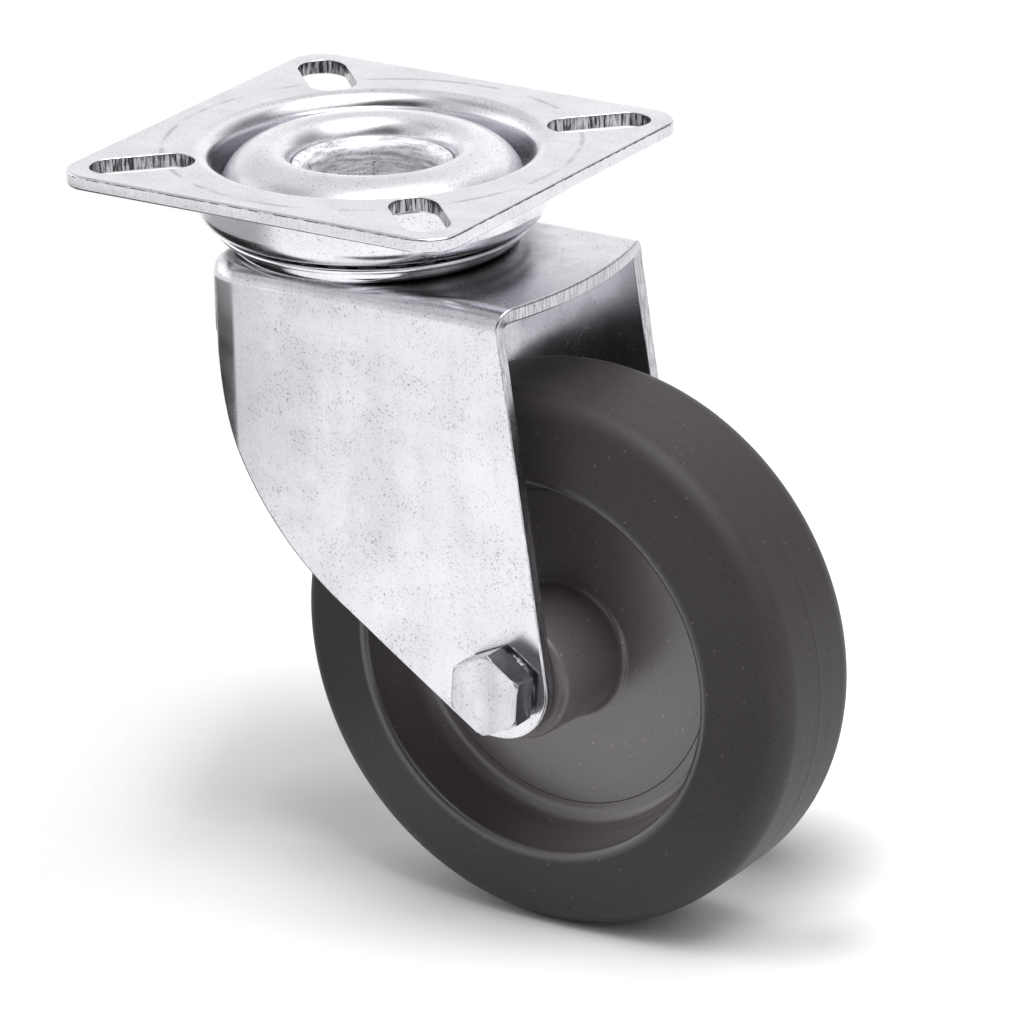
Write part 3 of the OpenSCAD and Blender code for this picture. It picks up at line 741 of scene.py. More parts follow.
def dish_section(sizes, wall_r):
    """Open section of the dish, from the flat's top edge down, across and back up to its underside."""
    edge_r = wall_r + sizes.thickness + sizes.dish_bend_r
    inner = sizes.dish_bend_r
    outer = inner + sizes.thickness
    under_z = PLATE_LOW.z
    floor_z = under_z + sizes.thickness
    corner = (wall_r - inner, floor_z + inner)
    hole = 0.2 * MM
    points = arc((edge_r, -outer), outer, 90, 180)
    points += arc(corner, inner, 0, -90, 30)
    points += arc((sizes.dish_hole_r + hole, floor_z - hole), hole, 90, 180, 30)
    points += arc((sizes.dish_hole_r + hole, under_z + hole), hole, 180, 270, 30)
    points += arc(corner, outer, -90, 0)
    points += arc((edge_r, -outer), inner, 180, 90, 30)
    return points


def slot_outline(sizes, turn):
    """Outline of one slot, clockwise, so that insetting it widens the slot."""
    half = sizes.slot_w / 2
    near, far = (spacing / math.sqrt(2) for spacing in (sizes.slot_near, sizes.slot_far))
    points = arc((far, 0), half, 90, -90, 9) + arc((near, 0), half, 270, 90, 9)
    rotation = Matrix.Rotation(turn, 2)
    return [tuple(rotation @ Vector(p)) for p in points]


class CASTOR_OT_top_plate(bpy.types.Operator):
    """Build the square top plate with its slots and its pressed dish"""

    bl_idname = "castor.top_plate"
    bl_label = "Top Plate"

    def execute(self, context):
        sizes = context.scene.castor_plate
        skin = Skin()
        top, bottom = PLATE_HIGH.z, PLATE_HIGH.z - sizes.thickness
        half = PLATE_HIGH.x
        corners = [(x * half, y * half, sizes.corner_r) for x, y in ((1, -1), (1, 1), (-1, 1), (-1, -1))]
        outlines = [(rounded(corners, 6), sizes.edge_r, PLATE_SHEAR)]
        for turn in SLOT_TURNS:
            outlines.append((slot_outline(sizes, math.radians(turn)), sizes.slot_edge_r, SLOT_SHEAR_AND_SHADE))
        tops, bottoms = [], []
        for outline, edge_r, shear_and_shade in outlines:
            steps = fillet_steps(edge_r)
            upper = [skin.ring([(x, y, top - drop) for x, y in inset(outline, shift)])
                     for shift, drop in steps]
            lower = [skin.ring([(x, y, bottom + drop) for x, y in inset(outline, shift)])
                     for shift, drop in reversed(steps)]
            rings = upper + lower
            for first, second in zip(rings, rings[1:]):
                wall = first is upper[-1]
                # the slots' walls get painted shade through their cut-edge mark
                skin.strip(first, second, sheared=shear_and_shade * wall, grime=float(second is upper[-1]))
            tops.append(rings[0])
            bottoms.append(rings[-1])
        section = dish_section(sizes, CAP_HIGH.x + sizes.cap_gap)
        dish = skin.turned(section, context.scene.castor_wheel.segments)
        skin.fill(tops + [dish[0]])
        skin.fill(bottoms + [dish[-1]])
        piece = smoothed(skin.done("plate_pressing"))
        dressed(piece, "top_plate", "plate", "zinc_plate")
        return {"FINISHED"}


class CASTOR_OT_swivel_cap(bpy.types.Operator):
    """Build the domed cap over the upper balls"""

    bl_idname = "castor.swivel_cap"
    bl_label = "Swivel Cap"

    def execute(self, context):
        sizes = context.scene.castor_head
        sheet, cut = sizes.cap_t, sizes.edge_r
        rim_r, crest_z, skirt_z = CAP_HIGH.x, CAP_HIGH.z, CAP_LOW.z
        neck_r = rim_r - sizes.cap_rim_r - sizes.cap_neck_r
        seat_z = crest_z - sizes.seat_depth
        hole_r = sizes.pin_bore_r + sizes.pin_t + PIN_FIT
        # Each corner as its radius from the axis, its height and its rounding
        section = rounded([
            (rim_r, skirt_z, cut), (rim_r, crest_z, sizes.cap_rim_r), (neck_r, crest_z, sizes.cap_neck_r),
            (neck_r, seat_z, 0.3 * MM), (hole_r + sizes.pin_lip_r, seat_z, 0),
            (hole_r, seat_z - sizes.pin_lip_r, 0), (hole_r, seat_z - sheet, cut),
            (neck_r + sheet, seat_z - sheet, 0.8 * sheet),
            (neck_r + sheet, crest_z - sheet, sizes.cap_neck_r - sheet),
            (rim_r - sheet, crest_z - sheet, sizes.cap_rim_r - sheet), (rim_r - sheet, skirt_z, cut)], 5)
        piece = smoothed(spun("cap_pressing", section, TURNED_STEPS, finish("zinc_cap")))
        dressed(piece, "swivel_cap", "fork", "zinc_cap")
        return {"FINISHED"}


class CASTOR_OT_kingpin(bpy.types.Operator):
    """Build the hollow kingpin with its rolled lip and its flange"""

    bl_idname = "castor.kingpin"
    bl_label = "Hollow Kingpin"

    def execute(self, context):
        sizes = context.scene.castor_head
        bore_r, wall, lip_r, cut = sizes.pin_bore_r, sizes.pin_t, sizes.pin_lip_r, sizes.edge_r
        seat_z = CAP_HIGH.z - sizes.seat_depth
        shoulder_z = seat_z - sizes.cap_t
        pin_r = bore_r + wall
        lip_out = pin_r + lip_r + 0.15 * MM
        # Each corner as its radius from the axis, its height and its rounding
        section = rounded([
            (bore_r, PIN_LOW.z, 0.5 * MM), (PIN_HIGH.x, PIN_LOW.z, cut),
            (PIN_HIGH.x, PIN_LOW.z + sizes.flange_t, cut),
            (pin_r + sizes.pin_shoulder, PIN_LOW.z + sizes.flange_t, 0),
            (pin_r + sizes.pin_shoulder, shoulder_z, cut), (pin_r, shoulder_z, 0),
            (pin_r, seat_z, lip_r), (lip_out, seat_z, 0), (lip_out, PIN_HIGH.z, 0.14 * MM),
            (bore_r, PIN_HIGH.z, lip_r + wall)], 6)
        piece = smoothed(spun("kingpin_rivet", section, PIN_STEPS, finish("zinc_pin")))
        dressed(piece, "hollow_kingpin", "fork", "zinc_pin")
        return {"FINISHED"}


class CASTOR_OT_lower_race(bpy.types.Operator):
    """Build the bright race ring between the dish and the fork"""

    bl_idname = "castor.lower_race"
    bl_label = "Lower Race"

    def execute(self, context):
        sizes = context.scene.castor_head
        sheet, bend, wall_r = sizes.race_t, sizes.race_bend_r, sizes.race_r
        ball_low, ball_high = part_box("lower_ball_24")
        pitch_r = (ball_low.x + ball_high.x) / 2
        ball_z = (ball_low.z + ball_high.z) / 2
        track_r = (ball_high.z - ball_low.z) / 2 + BALL_FIT
        under_r = track_r + sheet
        floor_z = FORK_HIGH.z
        rise_z = floor_z + sheet
        # The rim's cut edge is nearly a half round
        cut = 0.5 * sheet - 0.05 * MM
        hole_step = 0.1 * MM
        inner_r = context.scene.castor_plate.dish_hole_r + hole_step
        seat = math.degrees(math.acos((ball_z - floor_z) / under_r))
        lift = math.degrees(math.acos((ball_z - rise_z) / track_r))
        wall = rounded([
            (inner_r, floor_z, 0), (wall_r, floor_z, bend + sheet), (wall_r, RACE_HIGH.z - sheet, bend),
            (RACE_HIGH.x, RACE_HIGH.z - sheet, cut), (RACE_HIGH.x, RACE_HIGH.z, cut),
            (wall_r - sheet, RACE_HIGH.z, bend + sheet), (wall_r - sheet, rise_z, bend),
            (inner_r, rise_z, 0)], 10)
        centre = (pitch_r, ball_z)
        section = (wall[:1] + arc(centre, under_r, -90 - seat, -90 + seat, 8) + wall[1:-1]
                   + arc(centre, track_r, -90 + lift, -90 - lift, 8) + wall[-1:])
        piece = smoothed(spun("race_ring", section, TURNED_STEPS, finish("race_steel")))
        dressed(piece, "lower_race", "fork", "race_steel")
        return {"FINISHED"}


def leg_trim(sizes):
    """The leg's outline as x and z, from the foot's rear forwards and up to the front wall."""
    foot = Vector((AXLE.x - sizes.foot_lead, AXLE.z))
    foot_z = foot.y - sizes.foot_r
    corner = Vector((AXLE.x - sizes.foot_corner, foot_z))
    front_x = FORK_LOW.x + sizes.setback
    under_z = FORK_HIGH.z - sizes.thickness
    centre_x = front_x + sizes.front_r
    lean = sizes.front_r - (centre_x - corner.x) * math.sin(sizes.rise)
    centre_z = foot_z + lean / math.cos(sizes.rise)
    reach = Vector((sizes.rim_corner - foot.x, under_z - foot.y))
    tilt = math.asin(sizes.foot_r / reach.length) - math.atan2(reach.x, reach.y)
    rise = math.degrees(sizes.rise)
    foot_arc = arc(foot, sizes.foot_r, math.degrees(tilt), -90, 6)
    front_arc = arc((centre_x, centre_z), sizes.front_r, 270 - rise, 180, 2)
    wall_z = FORK_HIGH.z - sizes.front_wall_h
    flare = arc((FORK_LOW.x, wall_z - sizes.setback), sizes.setback, 0, 90, 9)
    return foot_arc + [tuple(corner)] + front_arc + flare


def shell_path(sizes, pull, rear_x, columns):
    """Plan of the fork's skirt, pulled in from its outer face: near leg, front wall, far leg."""
    half = LEG_OUT - pull
    front = FORK_LOW.x + pull
    centre = Vector((FORK_LOW.x + sizes.bend_r, LEG_OUT - sizes.bend_r))
    radius = sizes.bend_r - pull
    near = [(rear_x, -half)]
    near += [(centre.x - radius * math.sin(a), -centre.y - radius * math.cos(a)) for a in columns]
    middle = [(front, 0)]
    far = [(x, -y) for x, y in reversed(near)]
    return near + middle + far


class CASTOR_OT_fork(bpy.types.Operator):
    """Build the drawn fork: top, front wall and two legs from one sheet"""

    bl_idname = "castor.fork"
    bl_label = "Fork"

    def execute(self, context):
        sizes = context.scene.castor_fork
        head = context.scene.castor_head
        skin = Skin()
        top_z = FORK_HIGH.z
        bend_x = FORK_LOW.x + sizes.bend_r
        trim = leg_trim(sizes)
        rim_r = (LEG_OUT ** 2 + sizes.rim_bulge ** 2) / (2 * sizes.rim_bulge)

        def rim_x(y):
            return sizes.rim_corner + sizes.rim_bulge - rim_r + math.sqrt(rim_r ** 2 - y ** 2)

        def trim_z(x):
            """Height of the cut edge at x, ahead of the start of the upright bend."""
            for (x0, z0), (x1, z1) in zip(trim, trim[1:]):
                if x1 <= x <= x0 and z0 < z1 and x0 > x1:
                    return z0 + (z1 - z0) * (x0 - x) / (x0 - x1)
            return trim[-1][1]

        cuts = [x for x, z in trim if FORK_LOW.x < x < bend_x and z > AXLE.z]
        turns = {0.0, math.pi / 2} | {math.asin(min(1, (bend_x - x) / sizes.bend_r)) for x in cuts}
        turns |= {math.radians(a) for a in range(0, 91, 6)}
        least_turn = 0.01
        columns = []
        for a in sorted(turns):
            if not columns or a - columns[-1] > least_turn:
                columns.append(a)
        columns[-1] = math.pi / 2

        # The bend along the top's edge, from the flat top out and down to the skirt
        rows = []
        for pull, drop in fillet_steps(sizes.edge_r, 8):
            plan = shell_path(sizes, pull, rim_x(LEG_OUT - pull), columns)
            rows.append(skin.ring([(x, y, top_z - drop) for x, y in plan]))
        for first, second in zip(rows, rows[1:]):
            skin.strip(first, second, closed=False)

        # The flat top, with the kingpin's hole
        edge = rows[0]
        half = LEG_OUT - sizes.edge_r
        side_steps = 12
        across = [half * (1 - i / side_steps) for i in range(1, 2 * side_steps)]
        rim = skin.ring([(rim_x(y), y, top_z) for y in across])
        hole_r = head.pin_bore_r + head.pin_t + head.pin_shoulder + PIN_FIT
        skin.fill([edge + rim, skin.circle(hole_r, top_z, PIN_STEPS // 2)])

        # The upright bends and the front wall, down to the cut edge
        skirt = rows[-1]
        low = [skin.bm.verts.new((v.co.x, v.co.y, trim_z(v.co.x))) for v in skirt[1:-1]]
        skin.strip(skirt[1:-1], low, closed=False)

        # The flat legs, each with the bolt's hole
        bore_r = context.scene.castor_hardware.bolt_r + BOLT_FIT
        hole = [(AXLE.x + bore_r * math.cos(a), AXLE.z + bore_r * math.sin(a)) for a in around(32)]
        edge_points = [(x, z) for x, z in trim if x > bend_x + WELD]
        legs = ((-LEG_OUT, skirt[0], skirt[1], low[0]), (LEG_OUT, skirt[-1], skirt[-2], low[-1]))
        for y, top_rear, top_front, cut in legs:
            outline = [top_rear] + skin.ring([(x, y, z) for x, z in edge_points]) + [cut, top_front]
            skin.fill([outline, skin.ring([(x, y, z) for x, z in hole])])

        piece = skin.done("fork_pressing")
        piece.data.materials.append(finish("zinc_fork"))
        piece.data.materials.append(finish("zinc_fork"))
        wall = piece.modifiers.new("Sheet", "SOLIDIFY")
        wall.thickness = sizes.thickness
        wall.offset = -1
        wall.use_even_offset = True
        wall.material_offset_rim = 1
        smoothed(round_edges(piece, sizes.cut_edge_r, 60, 3, clamp=False))
        # The rim's faces came out with the second material, which tells the cut edges apart
        sheared = piece.data.attributes["sheared"].data
        for face in piece.data.polygons:
            sheared[face.index].value = FORK_SHEAR * face.material_index
            face.material_index = 0
        dressed(piece, "fork", "fork", "zinc_fork")
        return {"FINISHED"}


def hex_reach(angle, across_flats):
    """Distance from the centre to a hexagon's side in one direction, with a corner at 0."""
    return across_flats / 2 / math.cos(angle % (math.pi / 3) - math.pi / 6)


def hex_rings(skin, across_flats, turned_r, low_z, high_z, turn=0.0):
    """Rings of a hexagonal body from its face at low_z up to its turned-off face at high_z."""
    slope = math.copysign(math.tan(math.pi / 6), high_z - low_z)
    reaches = [(angle, hex_reach(angle, across_flats)) for angle in around(HEX_STEPS)]

    def place(angle, r, z):
        return r * math.cos(angle + turn), r * math.sin(angle + turn), z

    low = skin.ring([place(a, r, low_z) for a, r in reaches])
    edge = skin.ring([place(a, r, high_z - slope * max(0, r - turned_r)) for a, r in reaches])
    top = skin.ring([place(a, min(r, turned_r), high_z) for a, r in reaches])
    skin.strip(low, edge)
    skin.strip(edge, top)
    return low, top


class CASTOR_OT_axle_bolt(bpy.types.Operator):
    """Build the hex-headed axle bolt with its threaded end"""

    bl_idname = "castor.axle_bolt"
    bl_label = "Axle Bolt"

    def execute(self, context):
        sizes = context.scene.castor_hardware
        skin = Skin()
        face_z = LEG_OUT + sizes.washer_face_h
        head_z = -BOLT_LOW.y
        end_z = -BOLT_HIGH.y
        turned_r = sizes.turned_share * sizes.across_flats / 2
        low, top = hex_rings(skin, sizes.across_flats, turned_r, face_z, head_z, sizes.head_turn)
        middle_share = 0.9
        middle = skin.ring([(v.co.x * middle_share, v.co.y * middle_share, head_z) for v in top])
        skin.strip(top, middle)
        skin.fan(middle, (0, 0, head_z))
        stem = ((sizes.washer_face_r, face_z), (sizes.washer_face_r, LEG_OUT), (sizes.bolt_r, LEG_OUT),
                (sizes.bolt_r, -LEG_OUT))
        rings = [skin.circle(r, z, HEX_STEPS, sizes.head_turn) for r, z in stem]
        for first, second in zip([low] + rings, rings):
            # painted shade: the head's underside and its washer face carry the cut-edge mark, which darkens
            # the gap at the leg
            skin.strip(first, second, sheared=float(second[0].co.z >= LEG_OUT))
        # The threaded end: one helix, as a radius that changes with the turn and the height
        rows_per_pitch, tip_pitches = 10, 0.8
        rows = math.ceil((-LEG_OUT - end_z) / sizes.thread_pitch * rows_per_pitch)
        last = rings[-1]
        for row in range(1, rows + 1):
            z = -LEG_OUT + (end_z + LEG_OUT) * row / rows
            fade = min(1, (z - end_z) / (tip_pitches * sizes.thread_pitch))
            points = []
            for angle in around(HEX_STEPS):
                phase = (angle / math.tau - z / sizes.thread_pitch) % 1
                notch = max(abs(2 * phase - 1), 1 - fade)
                r = sizes.bolt_r - sizes.thread_depth * notch
                turned = angle + sizes.head_turn
                points.append((r * math.cos(turned), r * math.sin(turned), z))
            ring = skin.ring(points)
            skin.strip(last, ring)
            last = ring
        skin.fan(last, (0, 0, end_z))
        piece = round_edges(skin.done("bolt_and_thread"), 0.1 * MM, 24)
        on_axle(smoothed(piece, 40))
        dressed(piece, "axle_bolt", "fork", "bolt_zinc")
        return {"FINISHED"}


class CASTOR_OT_axle_nut(bpy.types.Operator):
    """Build the self-locking nut"""

    bl_idname = "castor.axle_nut"
    bl_label = "Axle Nut"

    def execute(self, context):
        sizes = context.scene.castor_hardware
        skin = Skin()
        near_z, far_z = -NUT_LOW.y, -NUT_HIGH.y
        hex_z = far_z + sizes.collar_h
        bore_r = sizes.bolt_r + THREAD_FIT
        turned_r = sizes.turned_share * sizes.across_flats / 2
        low, top = hex_rings(skin, sizes.across_flats, turned_r, near_z, hex_z)
        # The collar's rolled edge and its mouth, as steps in mm from the collar's outside and from the bore
        rolled = ((0, 0.35), (-0.1, 0.1), (-0.35, 0))
        mouth = ((0.45, 0), (0.4, 0.3), (0, 0.4))
        profile = [(sizes.collar_r, hex_z)]
        profile += [(sizes.collar_r + x * MM, far_z + z * MM) for x, z in rolled]
        profile += [(bore_r + x * MM, far_z + z * MM) for x, z in mouth]
        profile += [(bore_r, near_z)]
        rings = skin.turned(profile, HEX_STEPS)
        skin.strip(top, rings[0])
        skin.strip(rings[-1], low)
        piece = round_edges(skin.done("lock_nut"), 0.12 * MM, 28)
        on_axle(smoothed(piece, 40))
        dressed(piece, "axle_nut", "fork", "bolt_zinc")
        return {"FINISHED"}


class CASTOR_OT_wheel(bpy.types.Operator):
    """Build the one-piece moulded wheel with its hub, web, rim and tread"""

    bl_idname = "castor.wheel"
    bl_label = "Wheel"

    def execute(self, context):
        sizes = context.scene.castor_wheel
        tread_r = WHEEL_HIGH.x - AXLE.x
        hub_half = WHEEL_HIGH.y
        shoulder = Vector((tread_r - sizes.shoulder_r, sizes.tread_half))
        rim_edge = Vector((sizes.recess_r + sizes.rim_edge_r, sizes.rim_half - sizes.rim_edge_r))
        run = shoulder - rim_edge
        lean = math.atan2(-run.y, run.x) - math.asin((sizes.shoulder_r - sizes.rim_edge_r) / run.length)
        tilt = math.degrees(lean)
        hub_end_r = sizes.hub_r - sizes.hub_taper
        flash = sizes.flash_h
        side = Vector((math.sin(lean), math.cos(lean)))
        start = rim_edge + side * sizes.rim_edge_r
        along = Vector((side.y, -side.x))
        line = start + along * ((sizes.side_line_r - start.x) / along.x)
        line_end = along * 0.25 * MM
        # The mould's lines on the tread: how high in flash heights, and how far from the middle in mm
        tread_lines = ((1, 0), (1, 0.12), (0, 0.3), (0, 2.6), (0.6, 2.75), (0, 2.9))
        # Half of the section, from the middle of the tread to the bore
        half = [(tread_r + height * flash, aside * MM) for height, aside in tread_lines]
        half += arc(shoulder, sizes.shoulder_r, 0, 90 - tilt, 5)
        half += [tuple(line + line_end), tuple(line + side * flash), tuple(line - line_end)]
        half += arc(rim_edge, sizes.rim_edge_r, 90 - tilt, 180, 8)
        web_y, groove = sizes.web_half, sizes.groove
        groove_r = sizes.recess_floor_r - sizes.web_fillet_r - 2 * groove
        bore_edge_r = 0.3 * MM
        recess = rounded([
            (sizes.recess_r, rim_edge.y, 0), (sizes.recess_floor_r, web_y, sizes.web_fillet_r),
            (groove_r, web_y, 0), (groove_r - groove / 2, web_y - groove, 0), (groove_r - groove, web_y, 0),
            (sizes.hub_r, web_y, sizes.hub_fillet_r), (hub_end_r, hub_half, sizes.hub_edge_r),
            (sizes.bore_r, hub_half, bore_edge_r), (sizes.bore_r, 0, 0), (sizes.recess_r, 0, 0)], 8)
        half += recess[1:-2]
        section = half + [(sizes.bore_r, 0)] + [(r, -y) for r, y in reversed(half[1:])]
        piece = spun("wheel_moulding", section, sizes.segments, finish("wheel_plastic"))
        smoothed(on_axle(piece), 40)
        dressed(piece, "wheel", "wheel", "wheel_plastic")
        return {"FINISHED"}


class CASTOR_OT_inner_pieces(bpy.types.Operator):
    """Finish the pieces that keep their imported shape: balls, axle tube and the nut's ring"""

    bl_idname = "castor.inner_pieces"
    bl_label = "Inner Pieces"

    def execute(self, context):
        slots = {entry["node"]: entry["material_slot"] for entry in frame["record"]["subparts"]}
        for name, node in frame["nodes"].items():
            if name.startswith(("upper_ball", "lower_ball")) or name in ("axle_tube", "nut_insert"):
                node.data.materials.clear()
                node.data.materials.append(finish(slots[name]))
        return {"FINISHED"}


# Stage

# The camera's place, the point that it looks at, its roll and its lens, solved from the photograph
CAMERA_PLACE = Vector((507.704, -748.603, 294.647)) * MM
CAMERA_AIM = Vector((19.366, 1.720, -48.867)) * MM
CAMERA_ROLL = math.radians(-1.4117)
CAMERA_LENS = 254.53
SENSOR_W = 36


def place_camera():
    data = bpy.data.cameras.new("camera")
    data.lens = CAMERA_LENS
    data.sensor_width = SENSOR_W
    camera = placed("camera", data)
    ahead = (CAMERA_AIM - CAMERA_PLACE).normalized()
    right = ahead.cross(Vector((0, 0, 1))).normalized()
    up = right.cross(ahead)
    level = Matrix((right, up, -ahead)).transposed().to_4x4()
    camera.matrix_world = Matrix.Translation(CAMERA_PLACE) @ level @ Matrix.Rotation(CAMERA_ROLL, 4, "Z")
    bpy.context.scene.camera = camera


def heading(azimuth, elevation):
    """Direction of an azimuth from +X towards +Y and an elevation, in degrees."""
    a, e = math.radians(azimuth), math.radians(elevation)
    return Vector((math.cos(e) * math.cos(a), math.cos(e) * math.sin(a), math.sin(e)))


# The studio's tent: how bright it is, and the panels in it that are brighter or darker.
# Each panel has an azimuth and an elevation, its half width, the width of its soft edge, and its change.
SKY_LEVEL, SKY_DARKEST = 1.0, 0.02
SKY_PANELS = {
    "camera_side": (-62, 2, 25, 30, -0.8),
    "right_low": (20, 2, 36, 34, -0.75),
    "right_above": (-15, 46, 18, 20, 0.9),
    "camera_above": (-75, 38, 12, 22, -0.55),
    "back_above": (150, 50, 20, 25, -0.3),
    "left_low": (-160, 6, 15, 25, 0.4),
    "left_above": (-142, 42, 14, 22, -0.45),
    "left_front": (-122, 12, 6, 14, -0.35),
}
# How much brighter the reflections see the tent than the soft light that it gives
GLOSSY_LIFT = 0.19
# How far the floor reaches to each side of the swivel axis, in metres
FLOOR_REACH = 6.0
# Soft patches that deepen the shadow where the camera sees the floor: middle and reach in mm, and depth
FLOOR_PATCHES = (((-28, 32), 36, 0.3), ((-14, 15), 16, 0.25), ((42, 24), 24, 0.83), ((65, 5), 14, 0.3))
# Towards the left the camera sees the floor fade to white, which paints out its shadow there: the way, and
# where it starts and ends
FADE_HEADING = -158
FADE_START, FADE_END = 30 * MM, 52 * MM
# The key light's azimuth and elevation in degrees, distance and size in metres, and power in watts
KEY_HEADING = (-16, 71)
KEY_DISTANCE = 1.0
KEY_SIZE = 0.75
KEY_POWER = 8.5
# The cards' black, and the share of their reach where they start to fade out
CARD_BLACK = (0.01, 0.01, 0.01)
CARD_FADE = 0.75


def studio_sky():
    """World of a white tent with soft panels, plain white where the camera sees past the floor."""
    world = bpy.data.worlds.new("studio")
    world.use_nodes = True
    tree = world.node_tree
    direction = add_node(tree, "ShaderNodeTexCoord").outputs["Generated"]
    level = SKY_LEVEL
    for azimuth, elevation, half, soft, change in SKY_PANELS.values():
        near = vector_calc(tree, "DOT_PRODUCT", direction, heading(azimuth, elevation))["Value"]
        outer, inner = math.cos(math.radians(half + soft)), math.cos(math.radians(half))
        level = calc(tree, "ADD", level, ramp(tree, near, outer, inner, 0.0, change))
    level = calc(tree, "MAXIMUM", level, SKY_DARKEST)
    rays = add_node(tree, "ShaderNodeLightPath").outputs
    lift = calc(tree, "ADD", 1.0, calc(tree, "MULTIPLY", rays["Is Glossy Ray"], GLOSSY_LIFT))
    level = calc(tree, "MAXIMUM", calc(tree, "MULTIPLY", level, lift), rays["Is Camera Ray"])
    tree.links.new(level, tree.nodes["Background"].inputs["Strength"])
    tree.nodes["Background"].inputs["Color"].default_value = (1, 1, 1, 1)
    return world


def soft_light(name, place, aim, size, power):
    data = bpy.data.lights.new(name, "AREA")
    data.shape = "RECTANGLE"
    data.size, data.size_y = size
    data.energy = power
    light = placed(name, data)
    ahead = Vector(aim) - Vector(place)
    light.matrix_world = Matrix.Translation(place) @ ahead.to_track_quat("-Z", "Y").to_matrix().to_4x4()
    return light


def dark_card(name, centre, reach, start, end, fade):
    """A black fan of a card on the floor, which only reflections see; its angles are in degrees."""
    skin = Skin()
    steps = 12
    angles = [math.radians(start + (end - start) * i / steps) for i in range(steps + 1)]
    near, far = (skin.ring([(r * math.cos(a), r * math.sin(a), MM) for a in angles]) for r in reach)
    skin.strip(near, far, closed=False)
    card = skin.done(name)
    card.location = (centre.x, centre.y, FLOOR_Z)
    material, tree, shader = finish_start(name, CARD_BLACK, 0, 1)
    shader.inputs["Specular IOR Level"].default_value = 0
    # The place seen from the card's point, with X along the card's middle
    middle = math.radians((start + end) / 2)
    turned = add_node(tree, "ShaderNodeMapping", {"Vector": object_place(tree), "Rotation": (0, 0, -middle)})
    place = turned.outputs["Vector"]
    turn = calc(tree, "ARCTAN2", along_axis(tree, place, "Y"), along_axis(tree, place, "X"))
    half = math.radians(abs(end - start) / 2)
    sides = ramp(tree, calc(tree, "ABSOLUTE", turn), half - math.radians(fade), half, 1.0, 0.0)
    away = vector_calc(tree, "LENGTH", place)["Value"]
    far_end = ramp(tree, away, CARD_FADE * reach[1], reach[1], 1.0, 0.0)
    tree.links.new(calc(tree, "MULTIPLY", sides, far_end), shader.inputs["Alpha"])
    card.data.materials.append(material)
    card.visible_camera = False
    card.visible_diffuse = False
    card.visible_shadow = False


def floor_finish(colour):
    """Matte white, with painted shadow patches and a fade to white that paints out the shadow, which only the
    camera sees.
    """
    material, tree, shader = finish_start("studio_floor", colour, 0, 0.9)
    shader.inputs["Specular IOR Level"].default_value = 0.1
    place = object_place(tree)
    seen = add_node(tree, "ShaderNodeLightPath").outputs["Is Camera Ray"]
    shade = colour[0]
    for (x, y), reach, depth in FLOOR_PATCHES:
        away = vector_calc(tree, "DISTANCE", place, (x * MM, y * MM, FLOOR_Z))["Value"]
        dark = calc(tree, "MULTIPLY", seen, ramp(tree, away, 0, reach * MM, depth, 0.0))
        shade = calc(tree, "MULTIPLY", shade, less(tree, dark))
    tree.links.new(shade, shader.inputs["Base Color"])
    # painted light: for the camera the floor fades to the white behind it
    along = vector_calc(tree, "DOT_PRODUCT", place, heading(FADE_HEADING, 0))["Value"]
    kept = ramp(tree, along, FADE_START, FADE_END, 1.0, 0.0)
    tree.links.new(calc(tree, "MAXIMUM", less(tree, seen), kept), shader.inputs["Alpha"])
    return material


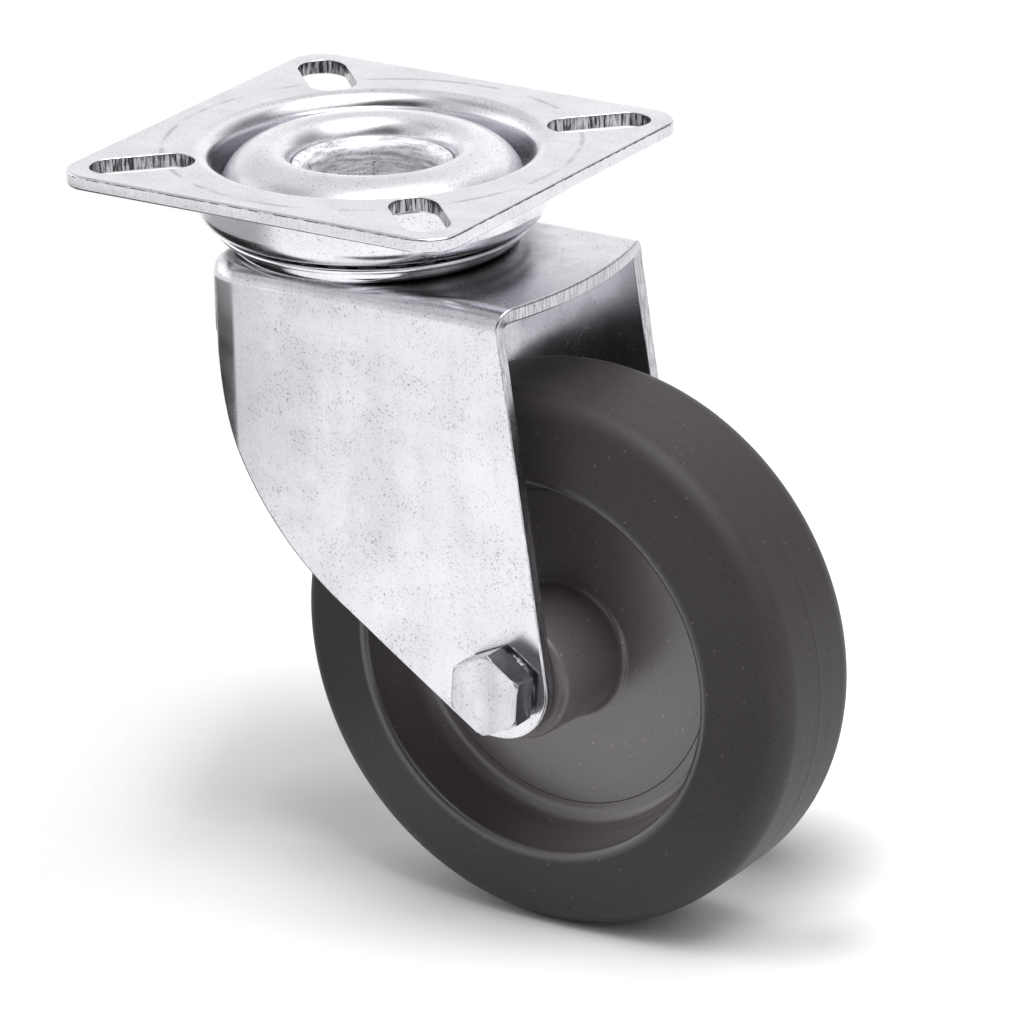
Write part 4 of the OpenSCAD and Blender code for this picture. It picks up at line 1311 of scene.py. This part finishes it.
class CASTOR_OT_stage(bpy.types.Operator):
    """Set the pale floor, the soft studio light and the camera at the photograph's angle"""

    bl_idname = "castor.stage"
    bl_label = "Stage"

    def execute(self, context):
        tints = context.scene.castor_finishes
        skin = Skin()
        sides = ((-1, -1), (1, -1), (1, 1), (-1, 1))
        skin.face(skin.ring([(x * FLOOR_REACH, y * FLOOR_REACH, FLOOR_Z) for x, y in sides]))
        floor = skin.done("studio_floor")
        floor.data.materials.append(floor_finish(tints.floor))
        bend = Vector((FORK_LOW.x + 4 * MM, FORK_LOW.y + 2 * MM, 0))
        dark_card("left_card", bend, (20 * MM, 325 * MM), 152, 238, 10)
        head = Vector((AXLE.x, BOLT_LOW.y, 0))
        dark_card("right_card", head, (25 * MM, 120 * MM), -98, -20, 12)
        context.scene.world = studio_sky()
        key_place = heading(*KEY_HEADING) * KEY_DISTANCE
        soft_light("key_softbox", key_place, (0, 0, 0), (KEY_SIZE, KEY_SIZE), KEY_POWER)
        context.scene.view_settings.view_transform = "Standard"
        place_camera()
        return {"FINISHED"}


class CASTOR_PT_pieces(bpy.types.Panel):
    bl_label = "Swivel Castor"
    bl_idname = "CASTOR_PT_pieces"
    bl_space_type = "VIEW_3D"
    bl_region_type = "UI"
    bl_category = "Castor"

    def draw(self, context):
        for operator in OPERATORS:
            self.layout.operator(operator.bl_idname)


SIZE_GROUPS = {"castor_plate": PlateSizes, "castor_head": HeadSizes, "castor_fork": ForkSizes,
               "castor_hardware": HardwareSizes, "castor_wheel": WheelSizes, "castor_finishes": Finishes}
OPERATORS = (CASTOR_OT_stage, CASTOR_OT_top_plate, CASTOR_OT_swivel_cap, CASTOR_OT_kingpin,
             CASTOR_OT_lower_race, CASTOR_OT_fork, CASTOR_OT_axle_bolt, CASTOR_OT_axle_nut, CASTOR_OT_wheel,
             CASTOR_OT_inner_pieces)
CLASSES = (*SIZE_GROUPS.values(), *OPERATORS, CASTOR_PT_pieces)


def register():
    for cls in CLASSES:
        bpy.utils.register_class(cls)
    for name, group in SIZE_GROUPS.items():
        setattr(bpy.types.Scene, name, PointerProperty(type=group))


def unregister():
    for name in SIZE_GROUPS:
        delattr(bpy.types.Scene, name)
    for cls in reversed(CLASSES):
        bpy.utils.unregister_class(cls)


def main():
    register()
    bpy.ops.castor.stage()
    bpy.ops.castor.top_plate()
    bpy.ops.castor.swivel_cap()
    bpy.ops.castor.kingpin()
    bpy.ops.castor.lower_race()
    bpy.ops.castor.fork()
    bpy.ops.castor.axle_bolt()
    bpy.ops.castor.axle_nut()
    bpy.ops.castor.wheel()
    bpy.ops.castor.inner_pieces()


if __name__ == "__main__":
    main()
